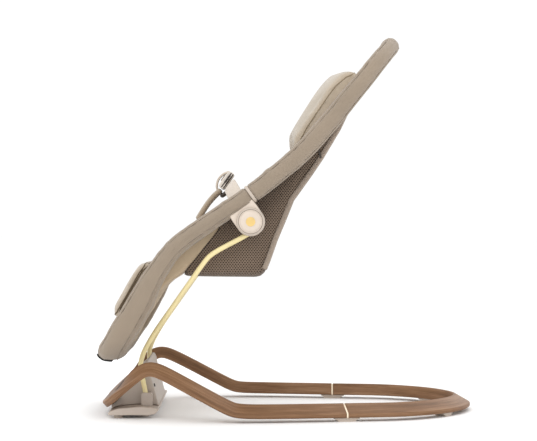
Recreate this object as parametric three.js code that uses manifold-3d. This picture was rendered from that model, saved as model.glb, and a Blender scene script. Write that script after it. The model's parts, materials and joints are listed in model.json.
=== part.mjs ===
import * as THREE from 'three';
import { mergeVertices } from 'three/addons/utils/BufferGeometryUtils.js';
import Module from 'manifold-3d';

// Bouncer seat: a bent wood base, two sprung rods, and a reclining seat on a hub at each side.
// Millimetres, +Z up, +X towards the child's head, -Y on the child's left.
// X = 0 is the recline pivot, Y = 0 the middle plane and Z = 0 the floor; the last lines
// move the whole group so that its origin is the middle of its box, on the floor.

// ---- driving dimensions -------------------------------------------------------------------

const GAP = 0.3;                    // between pieces that touch
const SIDES = [['left', -1], ['right', 1]];

// base
const BASE_HALF_WIDTH = 212;        // outside of the wood at its widest
const RAIL_WIDTH = 30;
const RAIL_INNER_HEIGHT = 22;       // the rail is a wedge, thick on its inner side
const RAIL_OUTER_HEIGHT = 8;
const RAIL_FRONT_HEIGHT = 13;       // and a flat board where it crosses the front
const RAIL_CLEARANCE = 6.3;         // under the rail, above the floor
const RAIL_SPLICE_X = 160;          // where the two bent pieces meet
const RING_THICKNESS = 2.6;
const DOWEL_RADIUS = 3.2;
const DOWEL_LENGTH = 40;
const FRONT_SLOPE = 0.93;           // rise per millimetre of the two ramps of the hump
const REAR_SLOPE = 0.553;
const HUMP_X = -171;                // where the two ramps would meet in a point
const HUMP_HEIGHT = 78.2;           // that point's height over the flat stretch
const HUMP_ROUNDING = 18;
const RAMP_FOOT_ROUNDING = 8;
const REAR_FOOT_X = 333;

// centre line of the rail in plan: X, and how far it is inside its widest place
const FRONT_PLAN = [[-238, 197], [-238, 110], [-229, 62], [-205, 31], [-164, 15], [-86, 3],
  [0, 0], [82, 9.5]];
const REAR_PLAN = [[252, 37.5], [300, 62], [340, 98], [368, 145], [379.6, 197]];

// front housing
const TRAY_HALF_WIDTH = 149;
const COVER_HALF_WIDTH = 110;
const COVER_WALL = 2.6;

// rods and hubs
const PIVOT_HEIGHT = 335;
const ROD_RADIUS = 4.2;
const ROD_FOOT_WIDTH = 119;         // half the distance between the rods' lower ends
const ROD_FOOT = [-178, 31];        // X and Z of the lower ends
const HUB_RADIUS = 24.4;
const CORE_RADIUS = 19;
const CORE_THICKNESS = 14.4;
const PLATE_THICKNESS = 9;
const BUTTON_RADIUS = 20;
const BUTTON_TRAVEL = 2.6;          // room behind the button, a little over its stroke
const BOLT_RADIUS = 5;
const STOP_PIN_RADIUS = 2;
const STOP_PIN_ORBIT = 11.5;
const RECLINE_RANGE = 22.2;         // degrees that the seat turns at the hub

// seat
const SEAT_HALF_WIDTH = 172;        // centre of the side tubes
const TUBE_RADIUS = 8;
const TUBE_WALL = 1.6;
const TUBE_CLEARANCE = 1.7;         // round the tube, inside the bracket and the padding
const HEAD_CORNER = 95;             // bend radius of the tube at the head and at the feet
const FOOT_CORNER = 70;
const BOLSTER_RADIUS = 16;          // padded sleeve over the tube
const SLEEVE_RADIUS = 12;           // the bracket's grip on the tube
const SLEEVE_HALF = 25;
const COLLAR_THICKNESS = 4.4;       // the ring seen between the two padded sleeves
const FABRIC = 3;
const LINER_THICKNESS = 6;
const PILLOW_HALF_WIDTH = 112;
const LEG_PAD_HALF_WIDTH = 118;
const STRAP_WIDTH = 25;

// side line of the seat's tube, from the feet to the head, measured from the pivot
const SIDE_LINE = [[-243, -222], [-204, -160], [-156, -80], [-125, -42], [-92, -16.5],
  [-22, 31], [27, 66.5], [78, 109], [113, 145], [244, 305]];

// ---- finishes -----------------------------------------------------------------------------

const FINISH = {
  wood: { color: 0x8d6342, roughness: 0.55 },
  inlay: { color: 0xe8d3b4, roughness: 0.35, metalness: 0.2 },
  steel: { color: 0xb9b9b6, roughness: 0.35, metalness: 1 },
  housing: { color: 0xa6988b, roughness: 0.5 },
  tray: { color: 0xbcaea2, roughness: 0.5 },
  foot: { color: 0xbdafa4, roughness: 0.75 },
  rod: { color: 0xf0e2b4, roughness: 0.35, metalness: 0.3 },
  hub: { color: 0xddcfc1, roughness: 0.4 },
  core: { color: 0x8c8077, roughness: 0.5 },
  bolster: { color: 0xb7a996, roughness: 0.95 },
  pillow: { color: 0xcdc3bb, roughness: 0.95 },
  mesh: { color: 0x5f5043, roughness: 0.9 },
  binding: { color: 0x84756a, roughness: 0.9 },
  panel: { color: 0xa08f77, roughness: 0.95 },
  strap: { color: 0xc5b8aa, roughness: 0.85 },
  buckle: { color: 0xddd3c7, roughness: 0.4 },
  rubber: { color: 0x2c2926, roughness: 0.8 },
};

// ---- solids, cuts and sweeps --------------------------------------------------------------

const wasm = await Module();
wasm.setup();

function toSolid(geometry) {
  const bare = geometry.clone();
  bare.deleteAttribute('normal');
  bare.deleteAttribute('uv');
  const merged = mergeVertices(bare, 1e-4);
  return new wasm.Manifold(new wasm.Mesh({
    numProp: 3,
    vertProperties: Float32Array.from(merged.attributes.position.array),
    triVerts: Uint32Array.from(merged.index.array),
  }));
}

function toGeometry(solid) {
  const mesh = solid.getMesh();
  const geometry = new THREE.BufferGeometry();
  geometry.setAttribute('position', new THREE.BufferAttribute(mesh.vertProperties, 3));
  geometry.setIndex(new THREE.BufferAttribute(mesh.triVerts, 1));
  return geometry;
}

// One body joined with others, then cut by others.
function carve(body, added, removed) {
  let solid = toSolid(body);
  for (const piece of added) solid = solid.add(toSolid(piece));
  for (const piece of removed) solid = solid.subtract(toSolid(piece));
  return toGeometry(solid);
}

function outline(points) {
  return new THREE.Shape(points.map(([x, y]) => new THREE.Vector2(x, y)));
}

// A polygon of n corners whose flats touch a circle of this radius from outside.
function ring(radius, corners) {
  const points = [];
  const reach = radius / Math.cos(Math.PI / corners);
  for (let i = 0; i < corners; i += 1) {
    const angle = (2 * Math.PI * (i + 0.5)) / corners;
    points.push(new THREE.Vector2(reach * Math.cos(angle), reach * Math.sin(angle)));
  }
  return points;
}

// A bar of an X-Z outline, from one Y to another.
function slab(points, fromY, toY) {
  const bar = new THREE.ExtrudeGeometry(outline(points), {
    depth: toY - fromY, bevelEnabled: false,
  });
  return bar.rotateX(Math.PI / 2).translate(0, toY, 0);
}

// A round bar along Y, at (x, z).
function pin(radius, fromY, toY, corners = 20, x = 0, z = 0) {
  const bar = new THREE.CylinderGeometry(radius, radius, toY - fromY, corners);
  return bar.translate(x, (fromY + toY) / 2, z);
}

// A body turned about the Y axis, from a section of [radius, y] in either direction.
function turned(section, segments = 28) {
  const points = section.map(([r, y]) => new THREE.Vector2(r, y));
  if (THREE.ShapeUtils.isClockWise(points)) points.reverse();
  return new THREE.LatheGeometry([...points, points[0]], segments);
}

// The same piece for the other side: mirrored in the middle plane, faces kept outward.
function toSide(geometry, side) {
  if (side < 0) return geometry;
  const other = toSolid(geometry).mirror([0, 1, 0]);
  return toGeometry(other);
}

// A straight bar wrapped along a curve: place() moves each of its points.
function wrap(section, steps, place) {
  const bar = new THREE.ExtrudeGeometry(section, { depth: 1, steps, bevelEnabled: false });
  const position = bar.attributes.position;
  const point = new THREE.Vector3();
  for (let i = 0; i < position.count; i += 1) {
    place(point.fromBufferAttribute(position, i));
    position.setXYZ(i, point.x, point.y, point.z);
  }
  return bar;
}

function tube(path, steps, outer, corners, inner = 0, innerCorners = corners) {
  const section = new THREE.Shape(ring(outer, corners));
  if (inner > 0) section.holes.push(new THREE.Path(ring(inner, innerCorners)));
  return new THREE.ExtrudeGeometry(section, { steps, extrudePath: path });
}

// An open line moved sideways by a distance, to the left of its direction.
function shifted(points, distance) {
  return points.map(([x, z], i) => {
    const [ax, az] = points[Math.max(i - 1, 0)];
    const [bx, bz] = points[Math.min(i + 1, points.length - 1)];
    const length = Math.hypot(bx - ax, bz - az);
    return [x - (distance * (bz - az)) / length, z + (distance * (bx - ax)) / length];
  });
}

// The outline of a sheet that lies along an open line.
function ribbon(points, thickness) {
  return [...shifted(points, thickness / 2), ...shifted(points, -thickness / 2).reverse()];
}

const root = new THREE.Group();
const seat = new THREE.Group();
seat.position.z = PIVOT_HEIGHT;
root.add(seat);

function add(group, name, geometry, finish) {
  const mesh = new THREE.Mesh(geometry, new THREE.MeshStandardMaterial(FINISH[finish]));
  mesh.name = name;
  group.add(mesh);
  return mesh;
}

// ---- the wood loop ------------------------------------------------------------------------

const railMiddle = BASE_HALF_WIDTH - RAIL_WIDTH / 2;

function softMin(a, b, rounding) {
  return (a + b - Math.hypot(a - b, rounding)) / 2;
}

// Height of the rail's underside over the floor, at X.
function railHeight(x) {
  const front = HUMP_HEIGHT + FRONT_SLOPE * (x - HUMP_X);
  const rear = HUMP_HEIGHT - REAR_SLOPE * (x - HUMP_X);
  const ramps = softMin(front, rear, HUMP_ROUNDING);
  return RAIL_CLEARANCE - softMin(-ramps, 0, RAMP_FOOT_ROUNDING);
}

// The plan runs from the rear nose along the left side, across the front and back on the right.
function railPlan() {
  const half = [...FRONT_PLAN, [RAIL_SPLICE_X, 21.5], ...REAR_PLAN];
  const left = half.slice().reverse().map(([x, inset]) => [x, inset - railMiddle]);
  const right = half.slice(1, -1).map(([x, inset]) => [x, railMiddle - inset]);
  const points = [...left, ...right].map(([x, y]) => new THREE.Vector3(x, y, 0));
  return new THREE.CatmullRomCurve3(points, true);
}

const plan = railPlan();
plan.arcLengthDivisions = 600;
const planLength = plan.getLength();

// The share of the loop's length at which its left side passes X.
function loopAt(x) {
  let low = 0;
  let high = 0.4;
  for (let i = 0; i < 30; i += 1) {
    const middle = (low + high) / 2;
    if (plan.getPointAt(middle).x > x) low = middle;
    else high = middle;
  }
  return (low + high) / 2;
}

// Place, direction, outward and upward directions of the rail's underside at a share of the loop.
function railFrame(share) {
  const u = ((share % 1) + 1) % 1;
  const at = plan.getPointAt(u);
  const along = plan.getTangentAt(u);
  const step = 0.5;
  const slope = (railHeight(at.x + step) - railHeight(at.x - step)) / (2 * step);
  at.z = railHeight(at.x);
  along.z = slope * along.x;
  along.normalize();
  const up = new THREE.Vector3(-slope, 0, 1).normalize();
  const out = new THREE.Vector3().crossVectors(up, along).normalize();
  return { at, along, out, up };
}

// How much of the flat front board there is at X: 1 across the front, 0 from the hump back.
function frontShare(x) {
  return 1 - THREE.MathUtils.smoothstep(x, -225, -185);
}

function railSweep(from, to, steps, grow = 0) {
  const half = RAIL_WIDTH / 2 + grow;
  const section = outline([[2 - half, 0], [half - 2, 0], [half, 0.16], [half, 0.84],
    [half - 2, 1], [2 - half, 1], [-half, 0.93], [-half, 0.07]]);
  return wrap(section, steps, (point) => {
    const { at, out, up } = railFrame(from + (to - from) * point.z);
    const outward = (point.x + half) / (2 * half);
    const wedge = THREE.MathUtils.lerp(RAIL_INNER_HEIGHT, RAIL_OUTER_HEIGHT, outward);
    const height = THREE.MathUtils.lerp(wedge, RAIL_FRONT_HEIGHT, frontShare(at.x));
    const rise = point.y * (height + 2 * grow) - grow;
    point.copy(at.addScaledVector(out, point.x).addScaledVector(up, rise));
  });
}

// A round pin along the rail, across the splice.
function splicePin(share, radius, length, corners) {
  const { at, along, out, up } = railFrame(share);
  const bar = new THREE.CylinderGeometry(radius, radius, length, corners);
  const middle = at.addScaledVector(up, 0.5 * (RAIL_INNER_HEIGHT + RAIL_OUTER_HEIGHT) / 2)
    .addScaledVector(out, -1);
  return bar.applyMatrix4(new THREE.Matrix4().makeBasis(out, along, up.negate())
    .setPosition(middle));
}

function addLoop() {
  const leftSplice = loopAt(RAIL_SPLICE_X);
  const splices = [leftSplice, 1 - leftSplice];
  const halfRing = RING_THICKNESS / 2 / planLength;
  const edge = halfRing + GAP / planLength;
  const bores = splices.map((share) => splicePin(share, DOWEL_RADIUS + GAP,
    DOWEL_LENGTH + 1, 12));
  const front = railSweep(splices[0] + edge, splices[1] - edge, 64);
  const rear = railSweep(splices[1] + edge, 1 + splices[0] - edge, 30);
  add(root, 'base_front_rail', carve(front, [], bores), 'wood');
  add(root, 'base_rear_rail', carve(rear, [], bores), 'wood');
  SIDES.forEach(([name], i) => {
    const slice = railSweep(splices[i] - halfRing, splices[i] + halfRing, 1, 0.2);
    add(root, `splice_ring_${name}`, carve(slice, [], [bores[i]]), 'inlay');
    const dowel = splicePin(splices[i], DOWEL_RADIUS, DOWEL_LENGTH, 12);
    add(root, `splice_dowel_${name}`, dowel, 'steel');
  });
}

// A rubber foot under the rail at X, wider at its top.
function addRailFoot(name, x, topLength, length, width) {
  for (const [sideName, side] of SIDES) {
    const share = side < 0 ? loopAt(x) : 1 - loopAt(x);
    const { at, along } = railFrame(share);
    const top = RAIL_CLEARANCE - GAP;
    const foot = slab([[-length / 2, 0], [length / 2, 0], [length / 2, 1.8],
      [topLength / 2, top - 1.2], [topLength / 2, top], [-topLength / 2, top],
      [-topLength / 2, top - 1.2], [-length / 2, 1.8]], -width / 2, width / 2);
    foot.rotateZ(Math.atan2(-along.y * side, -along.x * side));
    add(root, `${name}_${sideName}`, foot.translate(at.x, at.y, 0), 'foot');
  }
}

// ---- the front housing --------------------------------------------------------------------

const TRAY_PROFILE = [[-243, 8], [-240, 6], [-173, 6], [-162, 8.5], [-156, 14.5], [-156.5, 17],
  [-167, 19], [-186, 20.5], [-225, 17.5], [-241, 11.5]];

function trayGeometry() {
  const floor = 2.4;
  const inside = [[-236, 6 + floor], [-176, 6 + floor], [-168.5, 15.5], [-162, 24], [-162, 40],
    [-236, 40]];
  const body = slab(TRAY_PROFILE, -TRAY_HALF_WIDTH, TRAY_HALF_WIDTH);
  const hollow = slab(inside, -COVER_HALF_WIDTH + COVER_WALL, COVER_HALF_WIDTH - COVER_WALL);
  return carve(body, [], [hollow]);
}

// The cover follows the wood's front ramp at its top and leans back at its rear.
function coverProfile() {
  const board = RAIL_FRONT_HEIGHT;
  const ramp = [-222, -210, -198, -187].map((x) => [x, railHeight(x) + board + 4]);
  const rear = [[-181, 93], [-177, 91], [-174, 84], [-171, 67], [-157.5, 17.8]];
  const foot = [[-167, 19.5], [-186, 21.5], [-222, 18.5]];
  return [...ramp, ...rear, ...foot];
}

function coverGeometry() {
  const outside = coverProfile();
  const inside = outside.map(([x, z], i) => {
    const lift = i < 5 ? -COVER_WALL * 1.4 : 0;
    const inward = i > 4 && i < 9 ? -COVER_WALL : 0;
    const forward = i === 0 || i === outside.length - 1 ? COVER_WALL : 0;
    return [x + inward + forward, i > 7 ? z - 12 : z + lift];
  });
  const body = slab(outside, -COVER_HALF_WIDTH, COVER_HALF_WIDTH);
  return carve(body, [], [slab(inside, COVER_WALL - COVER_HALF_WIDTH,
    COVER_HALF_WIDTH - COVER_WALL)]);
}

function addHousing() {
  add(root, 'housing_tray', trayGeometry(), 'tray');
  add(root, 'housing_cover', coverGeometry(), 'housing');
  const pad = (radius, x, y, top) => new THREE.CylinderGeometry(radius, radius - 1.2,
    top - GAP, 20).rotateX(Math.PI / 2).translate(x, y, (top - GAP) / 2);
  for (const [name, side] of SIDES) {
    add(root, `front_foot_${name}`, pad(8.5, -226, side * 131, 6), 'foot');
    add(root, `middle_foot_${name}`, pad(8.5, -182, side * 108, 6), 'foot');
    const head = new THREE.CylinderGeometry(2.6, 3.2, 1.6, 16).rotateZ(-Math.PI / 2)
      .rotateY(-0.268).translate(-165.8, side * 96, 52.3);
    add(root, `cover_screw_${name}`, head, 'rubber');
  }
}

// ---- the sprung rods ----------------------------------------------------------------------

const rodTopWidth = SEAT_HALF_WIDTH - 5;

// The left rod's centre line; its width runs from the lower end's to the hub's.
function rodPath() {
  const route = [[...ROD_FOOT, 0], [-184.5, 63, 0.03], [-188.5, 86, 0.06], [-185, 105, 0.12],
    [-169, 136.5, 0.28], [-130, 193.5, 0.62], [-100, 236, 0.84], [-77, 266, 0.94],
    [-51, 287, 0.98], [-17.7, 306.5, 1], [-3, 315, 1]];
  return new THREE.CatmullRomCurve3(route.map(([x, z, share]) => new THREE.Vector3(x,
    -THREE.MathUtils.lerp(ROD_FOOT_WIDTH, rodTopWidth, share), z)));
}

// Socket on the tray that the rod's lower end turns in.
function socketGeometry() {
  const [x, z] = ROD_FOOT;
  const inner = -COVER_HALF_WIDTH - GAP;
  const outer = -ROD_FOOT_WIDTH - ROD_RADIUS - 3.4;
  const block = slab([[x - 9, 20.8], [x - 8, 20.8], [x + 10, 19.4], [x + 10, z + 8], [x + 7, z + 11],
    [x - 6, z + 11], [x - 9, z + 8]], outer, inner);
  const bore = pin(ROD_RADIUS + 1.2, -ROD_FOOT_WIDTH - ROD_RADIUS - 1,
    -ROD_FOOT_WIDTH + ROD_RADIUS + 1.2, 16, x, z + 1);
  const slot = slab([[x - 16, z + 1], [x + 7.5, z + 1], [x + 7.5, z + 30], [x - 16, z + 30]],
    -ROD_FOOT_WIDTH - ROD_RADIUS - 1, -ROD_FOOT_WIDTH + ROD_RADIUS + 1.2);
  return carve(block, [], [bore, slot]);
}

function addRods() {
  const rod = tube(rodPath(), 26, ROD_RADIUS, 10);
  for (const [name, side] of SIDES) {
    add(root, `spring_rod_${name}`, toSide(rod.clone(), side), 'rod');
    add(root, `rod_socket_${name}`, toSide(socketGeometry(), side), 'tray');
  }
}

// ---- the seat's side line -----------------------------------------------------------------

const sideCurve = new THREE.CatmullRomCurve3(
  SIDE_LINE.map(([x, z]) => new THREE.Vector3(x, 0, z)));
sideCurve.arcLengthDivisions = 400;
const sideLength = sideCurve.getLength();

// The distance from the feet at which the tube passes closest to the pivot.
function hubDistance() {
  let best = 0;
  for (let s = 0; s <= sideLength; s += 0.25) {
    const here = sideCurve.getPointAt(s / sideLength).length();
    if (here < sideCurve.getPointAt(best / sideLength).length()) best = s;
  }
  return best;
}

const hubAt = hubDistance();
const toFeet = -hubAt;
const toHead = sideLength - hubAt;

// A point at a distance along the side line from the hub, and at a height over the line.
function onLine(distance, height = 0) {
  const u = THREE.MathUtils.clamp((hubAt + distance) / sideLength, 0, 1);
  const at = sideCurve.getPointAt(u);
  const along = sideCurve.getTangentAt(u);
  return [at.x - height * along.z, at.z + height * along.x];
}

function lineFrom(start, end, count, height = 0) {
  return Array.from({ length: count }, (_, i) => (
    onLine(start + ((end - start) * i) / (count - 1), height)));
}

const hubTangent = sideCurve.getTangentAt(hubAt / sideLength);
const hubAngle = Math.atan2(hubTangent.z, hubTangent.x);
const tubeOffset = sideCurve.getPointAt(hubAt / sideLength).length();

// A U of tube: the side line carried across the seat by a plan of (distance, Y).
class SeatLoop extends THREE.Curve {
  constructor(start, end, corner) {
    super();
    const side = SEAT_HALF_WIDTH;
    const turn = Math.sign(end - start);
    const bend = end - turn * corner;
    this.plan = new THREE.Path();
    this.plan.moveTo(start, -side);
    this.plan.lineTo(bend, -side);
    this.plan.absarc(bend, corner - side, corner, -Math.PI / 2, turn < 0 ? -Math.PI : 0, turn < 0);
    this.plan.lineTo(end, side - corner);
    this.plan.absarc(bend, side - corner, corner, turn < 0 ? Math.PI : 0, Math.PI / 2, turn < 0);
    this.plan.lineTo(start, side);
  }

  getPoint(t) {
    const spot = this.plan.getPointAt(THREE.MathUtils.clamp(t, 0, 1));
    const [x, z] = onLine(spot.x);
    return new THREE.Vector3(x, spot.y, z);
  }
}

// ---- the hub at each side -----------------------------------------------------------------

// Bracket pieces are drawn with the tube's direction as X and the way to the tube as Z.
function turnToTube(geometry) {
  return geometry.rotateY(-hubAngle);
}

const plateInner = SEAT_HALF_WIDTH + 3;
const plateOuter = plateInner + PLATE_THICKNESS;
const coreOuter = plateInner - 0.6;
const coreInner = coreOuter - CORE_THICKNESS;
const recessDepth = BUTTON_TRAVEL + 3.4;   // and the nut, with a clearance
const stopStart = -Math.PI / 2;

// A teardrop: a round hub with straight sides up to the tube.
function teardrop(radius, top, depth) {
  const shape = new THREE.Shape();
  shape.moveTo(radius, top);
  shape.lineTo(-radius, top);
  shape.lineTo(-radius, 0);
  shape.absarc(0, 0, radius, Math.PI, 2 * Math.PI, false);
  const bar = new THREE.ExtrudeGeometry(shape, { depth, bevelEnabled: false, curveSegments: 16 });
  return bar.rotateX(Math.PI / 2);
}

function alongTube(radius, from, to, corners) {
  const bar = new THREE.CylinderGeometry(radius, radius, to - from, corners);
  return bar.rotateZ(-Math.PI / 2).translate((from + to) / 2, -SEAT_HALF_WIDTH, tubeOffset);
}

function bracketGeometry() {
  const plate = teardrop(HUB_RADIUS, tubeOffset - 5, PLATE_THICKNESS)
    .translate(0, -plateInner, 0);
  const sleeve = alongTube(SLEEVE_RADIUS, -SLEEVE_HALF, SLEEVE_HALF + 1, 20);
  const collar = alongTube(BOLSTER_RADIUS - 1, SLEEVE_HALF, SLEEVE_HALF + COLLAR_THICKNESS, 24);
  const rib = new THREE.BoxGeometry(2 * SLEEVE_HALF - 4, 10, 9)
    .translate(0, 1 - plateInner, tubeOffset - 9);
  const stop = pin(STOP_PIN_RADIUS, -plateInner - 1, 2.2 - plateInner, 10,
    STOP_PIN_ORBIT * Math.cos(stopStart), STOP_PIN_ORBIT * Math.sin(stopStart));
  const bore = alongTube(TUBE_RADIUS + TUBE_CLEARANCE, -SLEEVE_HALF - 9, SLEEVE_HALF + 9, 20);
  const recess = pin(BUTTON_RADIUS + 0.5, -plateOuter - 1, recessDepth - plateOuter, 32);
  const boltBore = pin(BOLT_RADIUS + GAP, -plateOuter, -coreInner, 20);
  return turnToTube(carve(plate, [sleeve, collar, rib, stop], [bore, recess, boltBore]));
}

// The padded sleeve leaves this much room for the bracket.
function bracketRoom() {
  const sleeve = alongTube(SLEEVE_RADIUS + 0.8, -SLEEVE_HALF - 0.8, SLEEVE_HALF + 60, 16);
  const gap = 0.7;
  const slot = new THREE.BoxGeometry(2 * (HUB_RADIUS + gap), 40, 40)
    .translate(0, -plateInner - 20 + 6, tubeOffset - 20 - 3);
  return carve(turnToTube(sleeve), [turnToTube(slot)], []);
}

function coreGeometry() {
  const recess = 2.4;
  const body = pin(CORE_RADIUS, -coreOuter, -coreInner, 32);
  const seatRecess = pin(CORE_RADIUS - 2.2, -coreOuter - 1, recess - coreOuter, 28);
  const boltBore = pin(BOLT_RADIUS + GAP, -coreOuter - 1, -coreInner + 1, 20);
  const socket = tube(rodPath(), 26, ROD_RADIUS + GAP, 10).translate(0, 0, -PIVOT_HEIGHT);
  return carve(body, [], [seatRecess, boltBore, socket]);
}

// The index plate has a curved slot that lets the stop pin travel the recline range.
function indexPlateGeometry() {
  const radius = CORE_RADIUS - 2.5;
  const shape = new THREE.Shape(ring(radius, 32));
  const slot = [];
  const half = STOP_PIN_RADIUS + 0.4;
  const slack = 2.2 / STOP_PIN_ORBIT;
  const start = stopStart + hubAngle + slack;
  const end = start - THREE.MathUtils.degToRad(RECLINE_RANGE) - 2 * slack;
  const steps = 8;
  for (let i = 0; i <= steps; i += 1) slot.push([STOP_PIN_ORBIT + half, i / steps]);
  for (let i = steps; i >= 0; i -= 1) slot.push([STOP_PIN_ORBIT - half, i / steps]);
  shape.holes.push(new THREE.Path(slot.map(([orbit, share]) => {
    const angle = THREE.MathUtils.lerp(start, end, share);
    return new THREE.Vector2(orbit * Math.cos(angle), orbit * Math.sin(angle));
  })));
  shape.holes.push(new THREE.Path(ring(BOLT_RADIUS + GAP, 20)));
  const disc = new THREE.ExtrudeGeometry(shape, { depth: 1.8, bevelEnabled: false });
  return disc.rotateX(Math.PI / 2).translate(0, 2.1 - coreOuter, 0);
}

// A hexagonal nut whose outer face is its lowest in Y.
function nutGeometry() {
  const shape = new THREE.Shape(ring(7, 6));
  shape.holes.push(new THREE.Path(ring(BOLT_RADIUS + 0.2, 20)));
  return new THREE.ExtrudeGeometry(shape, { depth: 2.6, bevelEnabled: false })
    .rotateX(Math.PI / 2);
}

function addHub(name, side) {
  const recessFloor = plateOuter - recessDepth;
  const put = (piece, geometry, finish) => (
    add(seat, `${piece}_${name}`, toSide(geometry, side), finish));
  put('hub_core', coreGeometry(), 'core');
  put('index_plate', indexPlateGeometry(), 'steel');
  put('seat_bracket', bracketGeometry(), 'hub');

  const headTop = -coreInner + GAP;
  put('pivot_bolt', turned([[0, -recessFloor - 3.2], [BOLT_RADIUS, -recessFloor - 3.2],
    [BOLT_RADIUS, headTop], [9, headTop], [8, headTop + 2.6], [0, headTop + 2.6]], 20), 'steel');
  put('pivot_nut', nutGeometry().translate(0, -recessFloor - GAP, 0), 'steel');
  put('button_spring', turned([[14.5, -recessFloor - GAP], [12.6, -recessFloor - 2.6],
    [11.6, -recessFloor - 2.6], [13.5, -recessFloor - GAP]], 24), 'steel');

  const rim = HUB_RADIUS - 0.9;
  put('hub_bezel', turned([[BUTTON_RADIUS + 0.5, -plateOuter - GAP], [rim, -plateOuter - GAP],
    [rim, -plateOuter - 4.2], [rim - 1.6, -plateOuter - 6], [BUTTON_RADIUS + 0.5,
      -plateOuter - 6]], 28), 'hub');
  put('hub_button', turned([[0, -plateOuter + 0.3], [BUTTON_RADIUS, -plateOuter + 0.3],
    [BUTTON_RADIUS, -plateOuter - 5.6], [BUTTON_RADIUS - 1.6, -plateOuter - 6.8],
    [0, -plateOuter - 7.6]], 28), 'hub');
}

// ---- the seat's frame and padding ---------------------------------------------------------

const sleeveEnd = SLEEVE_HALF + COLLAR_THICKNESS + 0.6;

function addFrame() {
  const upper = new SeatLoop(2, toHead, HEAD_CORNER);
  const lower = new SeatLoop(-2, toFeet, FOOT_CORNER);
  add(seat, 'frame_tube_upper', tube(upper, 34, TUBE_RADIUS, 8, TUBE_RADIUS - TUBE_WALL, 6),
    'steel');
  add(seat, 'frame_tube_lower', tube(lower, 34, TUBE_RADIUS, 8, TUBE_RADIUS - TUBE_WALL, 6),
    'steel');
  const bore = TUBE_RADIUS + TUBE_CLEARANCE + GAP;
  const head = new SeatLoop(sleeveEnd, toHead, HEAD_CORNER);
  add(seat, 'bolster_upper', tube(head, 34, BOLSTER_RADIUS, 10, bore, 8), 'bolster');
  const feet = new SeatLoop(SLEEVE_HALF - 0.6, toFeet, FOOT_CORNER);
  const room = bracketRoom();
  const otherRoom = toSide(room, 1);
  const sleeve = carve(tube(feet, 34, BOLSTER_RADIUS, 10, bore, 8), [], [room, otherRoom]);
  add(seat, 'bolster_lower', sleeve, 'bolster');
}

const bucketHalf = SEAT_HALF_WIDTH - BOLSTER_RADIUS - 6;
const linerHalf = bucketHalf - FABRIC - 1;

// Outside of the seat's body below the side line: down the back, forward along the bottom,
// and up the front, then the underside of the leg rest.
const BACK_LINE = [[171, 198], [152, 158], [122.5, 108.5], [103, 79.6], [72.4, 37], [58.8, 3],
  [44.4, -31], [32.4, -65], [21, -90], [11, -93.8]];
const FRONT_LINE = [[-114, -92.5], [-102, -79], [-85, -64.6], [-68.4, -47.7], [-55.5, -31],
  [-50, -14], [-49, -4]];
const LEG_UNDERSIDE = [[-136, -103.4], [-153, -120], [-173, -159], [-187, -186], [-214, -232],
  [-222, -228]];

// What fits inside the U of tube at one end of the seat: a prism with two rounded corners,
// square to the side line there, that runs on past the other end.
function insideLoop(end, corner, half) {
  const turn = end < 0 ? 1 : -1;
  const [x, z] = onLine(end);
  const [innerX, innerZ] = onLine(end + turn * corner);
  const inward = new THREE.Vector3(innerX - x, 0, innerZ - z).normalize();
  const across = new THREE.Vector3(0, 1, 0);
  const shape = new THREE.Shape();
  shape.moveTo(900, -half);
  shape.lineTo(900, half);
  shape.lineTo(corner, half);
  shape.absarc(corner, half - corner, corner, Math.PI / 2, Math.PI, false);
  shape.absarc(corner, corner - half, corner, Math.PI, 1.5 * Math.PI, false);
  const prism = new THREE.ExtrudeGeometry(shape, {
    depth: 900, bevelEnabled: false, curveSegments: 6 }).translate(0, 0, -450);
  const basis = new THREE.Matrix4().makeBasis(inward, across,
    new THREE.Vector3().crossVectors(inward, across));
  return prism.applyMatrix4(basis).translate(x, 0, z);
}

function trimmed(geometry, prisms) {
  let solid = toSolid(geometry);
  for (const prism of prisms) solid = solid.intersect(toSolid(prism));
  return toGeometry(solid);
}

function bucketGeometry() {
  const rim = lineFrom(-36, 250, 12, 2);
  const wall = [...BACK_LINE, ...FRONT_LINE];
  const inside = shifted(wall, -FABRIC);
  const mouth = lineFrom(-46, 262, 12, 30);
  const body = slab([...rim, ...wall], -bucketHalf, bucketHalf);
  const hollow = slab([...mouth, ...inside], FABRIC - bucketHalf, bucketHalf - FABRIC);
  return carve(body, [], [hollow]);
}

// The liner's middle line: down the back, over the seat's bottom and out along the legs.
function linerLine() {
  const inward = FABRIC + 1.5 + LINER_THICKNESS / 2;
  const back = lineFrom(toHead - BOLSTER_RADIUS - 3, 262, 4, -2);
  const basin = shifted(BACK_LINE.slice(1, 9), -inward);
  const front = [[6, -84.5], [-20, -87], [-48, -80], [-58, -60], [-47, -36], [-39, -16],
    [-38, 6], [-48, 20]];
  const legs = lineFrom(-62, toFeet + BOLSTER_RADIUS + 2, 9, 11.5);
  return [...back, ...basin, ...front, ...legs];
}

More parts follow.
